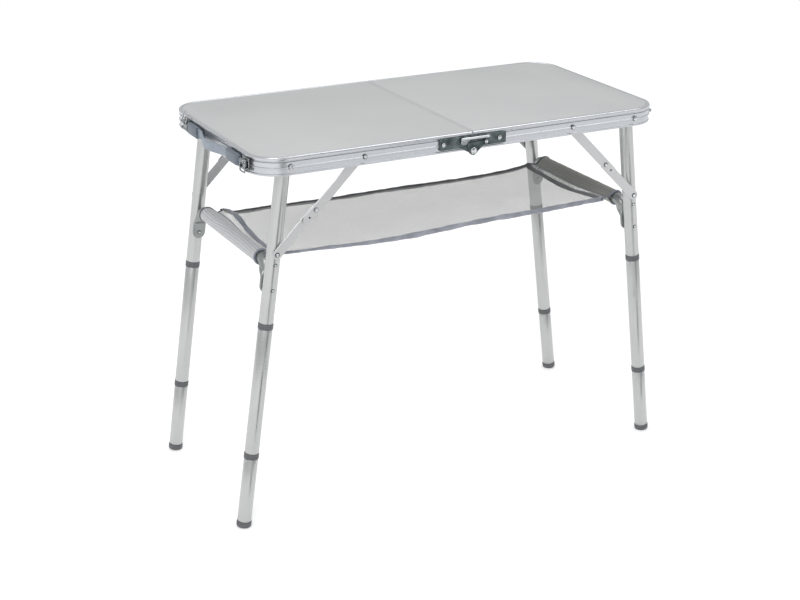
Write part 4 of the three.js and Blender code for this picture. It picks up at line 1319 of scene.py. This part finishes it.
def cloth_height(x, y):
    """The shelf between its seams: a patch through its four edges, with a little sag and fine wrinkles."""
    u = (x + SEAM_X) / (2 * SEAM_X)
    v = (y + EDGE_Y) / (2 * EDGE_Y)
    near_left, near_right = (1 - u) ** 3, u ** 3
    rise = (1 - v) * through(FRONT_EDGE, x) + v * through(BACK_EDGE, x)
    for near, seam, end in ((near_left, LEFT_SEAM, 0), (near_right, RIGHT_SEAM, -1)):
        corners = (1 - v) * FRONT_EDGE[end][1] + v * BACK_EDGE[end][1]
        rise += near * (through(seam, y) - corners)
    rise -= MID_SAG * 16 * u * (1 - u) * v * (1 - v)
    ripple = noise.noise(Vector((x / 120, y / 22, 0.4))) + 0.5 * noise.noise(Vector((x / 45, y / 11, 2.1)))
    return BAR_Z + rise + WRINKLE * ripple


def cloth_panel(name, x_from, x_to, steps, stands_for=()):
    """One stretch of the net, its surface a single open sheet."""
    reach = EDGE_Y - TAPE_WIDTH / 2
    rows = []
    for x in spread(x_from, x_to, steps):
        rows.append([Vector((x, y, cloth_height(x, y))) for y in spread(-reach, reach, 54)])
    thing = mesh_object(name, [skin(rows, wrap=False)])
    set_cloth_uv(thing)
    return soft_piece(thing, "net", stands_for)


def set_cloth_uv(thing):
    """The weave is laid out along X and Y, so that it runs on from one stretch to the next."""
    layer = thing.data.uv_layers[0]
    for loop in thing.data.loops:
        layer.data[loop.index].uv = thing.data.vertices[loop.vertex_index].co.xy


def leg_bend(side, blend):
    """The blend from the leg pair to its half."""
    way = side_way(side)
    return (f"{side}_leg_frame", f"{side}_half", way * blend[0], way * blend[1])


MIDDLE_BEND = ("left_half", "right_half", -MIDDLE_X, MIDDLE_X)


def seam_point(side, y_bar):
    """The seam across from a point on the bar, with the bar at the origin and the shelf on its +X side."""
    y_seam = y_bar * EDGE_Y / SLEEVE["half"]
    return y_seam, Vector((BAR_X - SEAM_X, seam_height(side, y_seam) - BAR_Z))


def sleeve_row(side, y_bar):
    """Across the sleeve: from the seam over the bar and back, as two layers stitched near the bar."""
    way = side_way(side)
    y_seam, seam = seam_point(side, y_bar)
    lie = math.atan2(seam.y, seam.x)
    stitch = Vector((math.cos(lie), math.sin(lie))) * SLEEVE["stitch"]
    radius = SLEEVE["radius"] + 0.35 * noise.noise(Vector((y_bar / 16, 3.0 * way, 0)))
    open_angle = math.degrees(math.acos(radius / SLEEVE["stitch"]))
    from_seam = math.degrees(lie)
    round_bar = arc(0, 0, radius, from_seam + open_angle, from_seam + 360 - open_angle, 26)
    layer = Vector((-math.sin(lie), math.cos(lie))) * LAYER
    upper = [seam.lerp(stitch, i / FLAP_STEPS) + layer for i in range(FLAP_STEPS + 1)]
    lower = [stitch.lerp(seam, i / FLAP_STEPS) - layer for i in range(FLAP_STEPS + 1)]
    row = []
    for point in upper + round_bar + lower:
        share = max(0.0, min(1.0, (point.x - SLEEVE["stitch"]) / (seam.x - SLEEVE["stitch"])))
        y = y_bar + (y_seam - y_bar) * share ** 1.5
        row.append(Vector((way * (BAR_X - point.x), y, BAR_Z + point.y)))
    return row


def make_sleeve(side):
    """The cloth round one crossbar and its two layers as far as the seam."""
    half = SLEEVE["half"]
    rows = [sleeve_row(side, y) for y in spread(-half, half, 48)]
    thing = mesh_object(f"{side}_shelf_sleeve", [skin(rows, wrap=False)], sharp_angle=75)
    # the right side's look carries a painted shade
    return soft_piece(thing, f"{side}_sleeve")


def stitch_path(side):
    """The line of stitching that closes the sleeve round its bar."""
    way = side_way(side)
    half = SLEEVE["half"] - 2
    points = []
    for y in spread(-half, half, 60):
        seam = seam_point(side, y)[1]
        at = seam.normalized() * SLEEVE["stitch"] + Vector((0, 0.9))
        points.append(Vector((way * (BAR_X - at.x), y, BAR_Z + at.y)))
    return points


def tape_row(middle, wide_way, half_wide, half_thick, sides=14):
    """A flattened round section across a tape."""
    up = Vector((0, 0, 1))
    row = []
    for c, s in round_steps(sides):
        row.append(middle + wide_way * (bulged(c, 0.7) * half_wide) + up * (s * half_thick))
    return row


def tape(points, wide_way, seed, half_wide=TAPE_WIDTH / 2, half_thick=1.5, narrow_to=1.0):
    """Folded webbing along points, its width and thickness a little uneven."""
    rows = []
    for point in points:
        swell = noise.noise(Vector((point.x / 24, point.y / 24, seed)))
        swell += 0.5 * noise.noise(Vector((point.x / 9, point.y / 9, seed + 3)))
        kept = max(0.0, min(1.0, (point.x + SEAM_X) / TAPER_LENGTH))
        wide = half_wide * (narrow_to + (1 - narrow_to) * kept) * (1 + 0.25 * swell)
        rows.append(tape_row(point, wide_way, wide, half_thick * (1 + 0.45 * swell)))
    return skin(rows)


def edge_tape(name, way, x_from, x_to, steps):
    """The binding along a long edge of the shelf."""
    kind = FRONT_TAPE if way < 0 else BACK_TAPE
    y = way * (EDGE_Y - TAPE_WIDTH / 2)
    points = []
    for x in spread(x_from, x_to, steps):
        wobble = 0.5 * noise.noise(Vector((x / 30, way * 5.0, 1.0)))
        points.append(Vector((x, y, cloth_height(x, y) + wobble)))
    binding = tape(points, Vector(kind["across"]), way * 2.0, *kind["size"])
    return soft_piece(mesh_object(name, [binding]), kind["look"])


def seam_tape(side):
    """The tape over the seam between the sleeve and the net."""
    way = side_way(side)
    half_wide, look = SEAM_TAPE[side]
    reach = EDGE_Y - 1
    points = [Vector((way * SEAM_X, y, seam_height(side, y) + 0.3)) for y in spread(-reach, reach, 60)]
    slope = Vector((1, 0, way * 0.25)).normalized()
    thing = mesh_object(f"{side}_shelf_seam_tape", [tape(points, slope, way * 7.0, half_wide)])
    return soft_piece(thing, look)


def end_piping(side, place):
    """The bound edge of the sleeve's end: from the seam to the bar, and round it."""
    row = sleeve_row(side, place_way(place) * SLEEVE["half"])
    path = row[:len(row) - FLAP_STEPS - 1]
    thing = mesh_object(f"{side}_{place}_shelf_end_piping", [wire(path, PIPING_RADIUS, sides=8)])
    # the back piping has the painted-shade tape
    return soft_piece(thing, "painted_shade_tape" if place == "back" else "tape")


def make_net():
    """The net and its bindings, in three stretches along X."""
    zones = (
        ("left", -SEAM_X, -MIDDLE_X, 26, leg_bend("left", SIDE_BLEND)),
        ("middle", -MIDDLE_X, MIDDLE_X, 80, MIDDLE_BEND),
        ("right", MIDDLE_X, SEAM_X, 26, leg_bend("right", SIDE_BLEND)),
    )
    for zone, x_from, x_to, steps, bend in zones:
        for place in PLACES:
            name = f"{zone}_{place}_shelf_edge_tape"
            edge_tape(name, place_way(place), x_from, x_to, steps)
        stands_for = ["mesh_shelf"] if zone == "middle" else []
        net = cloth_panel(f"{zone}_shelf_net", x_from, x_to, steps, stands_for)


def make_sleeves():
    """Each bar's sleeve, with its stitching, seam tape and bound ends."""
    for side in SIDES:
        sleeve = make_sleeve(side)
        stitch = mesh_object(f"{side}_sleeve_stitching", [wire(stitch_path(side), STITCH_RADIUS, sides=8)])
        soft_piece(stitch, "tape")
        trims = [stitch, seam_tape(side), end_piping(side, "front"), end_piping(side, "back")]


# ---------------------------------------------------------------- studio


WORLD_LIGHT = 0.72
FLOOR_TONE = (0.92, 0.92, 0.92)
FLOOR_GLOW = 0.31
DARK_TONE = (0.05, 0.05, 0.055)
WEDGE_TONE = (0.02, 0.02, 0.022)
AIM = (0, 0, 0.45)  # the middle of the table
# name, place, size across and power
LIGHTS = (
    ("key", (-1.8, -2.4, 3.2), 1.6, 48), ("overhead", (0.6, 1.2, 3.0), 1.2, 8),
    ("edge_light", (1.3, -1.1, 2.9), 1.5, 22),
)
# where along X each wedge of dark floor starts, and how far it reaches
WEDGES = ((-0.40, 1.9), (0.41, 1.15))


def plain_panel(name, corners, colour, glow=0.0):
    """A flat stage panel with one plain finish."""
    mesh = bpy.data.meshes.new(name)
    mesh.from_pydata(corners, [], [tuple(range(len(corners)))])
    thing = bpy.data.objects.new(name, mesh)
    bpy.context.scene.collection.objects.link(thing)
    material = bpy.data.materials.new(name)
    material.use_nodes = True
    shader = material.node_tree.nodes["Principled BSDF"]
    shader.inputs["Base Color"].default_value = (*colour, 1)
    shader.inputs["Roughness"].default_value = 0.9
    shader.inputs["Specular IOR Level"].default_value = 0.1
    shader.inputs["Emission Color"].default_value = (1, 1, 1, 1)
    shader.inputs["Emission Strength"].default_value = glow
    mesh.materials.append(material)
    return thing


def square(size, place):
    """The corners of a square that faces along the place's Z."""
    half = size / 2
    return [place @ Vector(corner) for corner in (
        (-half, -half, 0), (half, -half, 0), (half, half, 0), (-half, half, 0))]


def make_world():
    """White all round to the camera, and a little softer as a light."""
    world = bpy.data.worlds.new("studio")
    bpy.context.scene.world = world
    world.use_nodes = True
    tree = world.node_tree
    background = tree.nodes["Background"]
    background.inputs["Color"].default_value = (1, 1, 1, 1)
    rays = tree.nodes.new("ShaderNodeLightPath")
    level = tree.nodes.new("ShaderNodeMapRange")
    level.inputs["To Min"].default_value = WORLD_LIGHT
    level.inputs["To Max"].default_value = 1.0
    tree.links.new(rays.outputs["Is Camera Ray"], level.inputs["Value"])
    tree.links.new(level.outputs["Result"], background.inputs["Strength"])


def soft_light(name, place, size, energy):
    """A square area light that points at the middle of the table."""
    light = bpy.data.objects.new(name, bpy.data.lights.new(name, "AREA"))
    light.data.size = size
    light.data.energy = energy
    light.location = place
    light.rotation_euler = (Vector(AIM) - Vector(place)).to_track_quat("-Z", "Y").to_euler()
    bpy.context.scene.collection.objects.link(light)
    return light


def aimed(place):
    """A place whose Z points at the middle of the table."""
    turn = (Vector(AIM) - Vector(place)).to_track_quat("Z", "Y").to_matrix().to_4x4()
    return Matrix.Translation(place) @ turn


def reflection_only(thing):
    """Seen only in the polished pieces, so that they have something dark to reflect."""
    thing.visible_camera = False
    thing.visible_diffuse = False
    thing.visible_shadow = False
    thing.visible_transmission = False


def floor_wedge(x, reach):
    """Dark floor that widens away from a front leg, in the direction that the leg mirrors."""
    leg_y = -LEG_Y * MM
    low, high = math.radians(-96), math.radians(-72)
    corners = [Vector((x, leg_y - 0.12, 0.002))]
    for angle in (low, high):
        corners.append(Vector((x + reach * math.cos(angle), leg_y + reach * math.sin(angle), 0.002)))
    return corners


def make_studio():
    """A pale floor, soft lights, and dark panels that only the metal reflects."""
    make_world()
    plain_panel("floor", square(40, Matrix.Translation((0, 0, -0.0005))), FLOOR_TONE, FLOOR_GLOW)
    for name, place, size, energy in LIGHTS:
        light = soft_light(name, place, size, energy)
        if name == "edge_light":
            light.visible_diffuse = False
    reflection_only(plain_panel("dark_flag", square(1.3, aimed((1.2, -3.4, 0.7))), DARK_TONE))
    for x, reach in WEDGES:
        reflection_only(plain_panel("floor_wedge", floor_wedge(x, reach), WEDGE_TONE))


# ---------------------------------------------------------------- everything together


def make_table():
    """Every piece of the table."""
    for side in SIDES:
        make_frame(side)
        make_panel(side)
        make_fold_trim(side)
        make_crossbar(side)
        for place in PLACES:
            make_leg_pivot(side, place)
            make_leg(side, place)
            make_braces(side, place)
    for place in PLACES:
        make_hinge(place)
        make_handle_cap(place)
    make_handle_strap()
    for latch in LATCHES:
        make_latch(latch)
        make_catch(latch)
    make_net()
    make_sleeves()


make_table()
make_studio()
bpy.context.scene.view_settings.view_transform = "Standard"
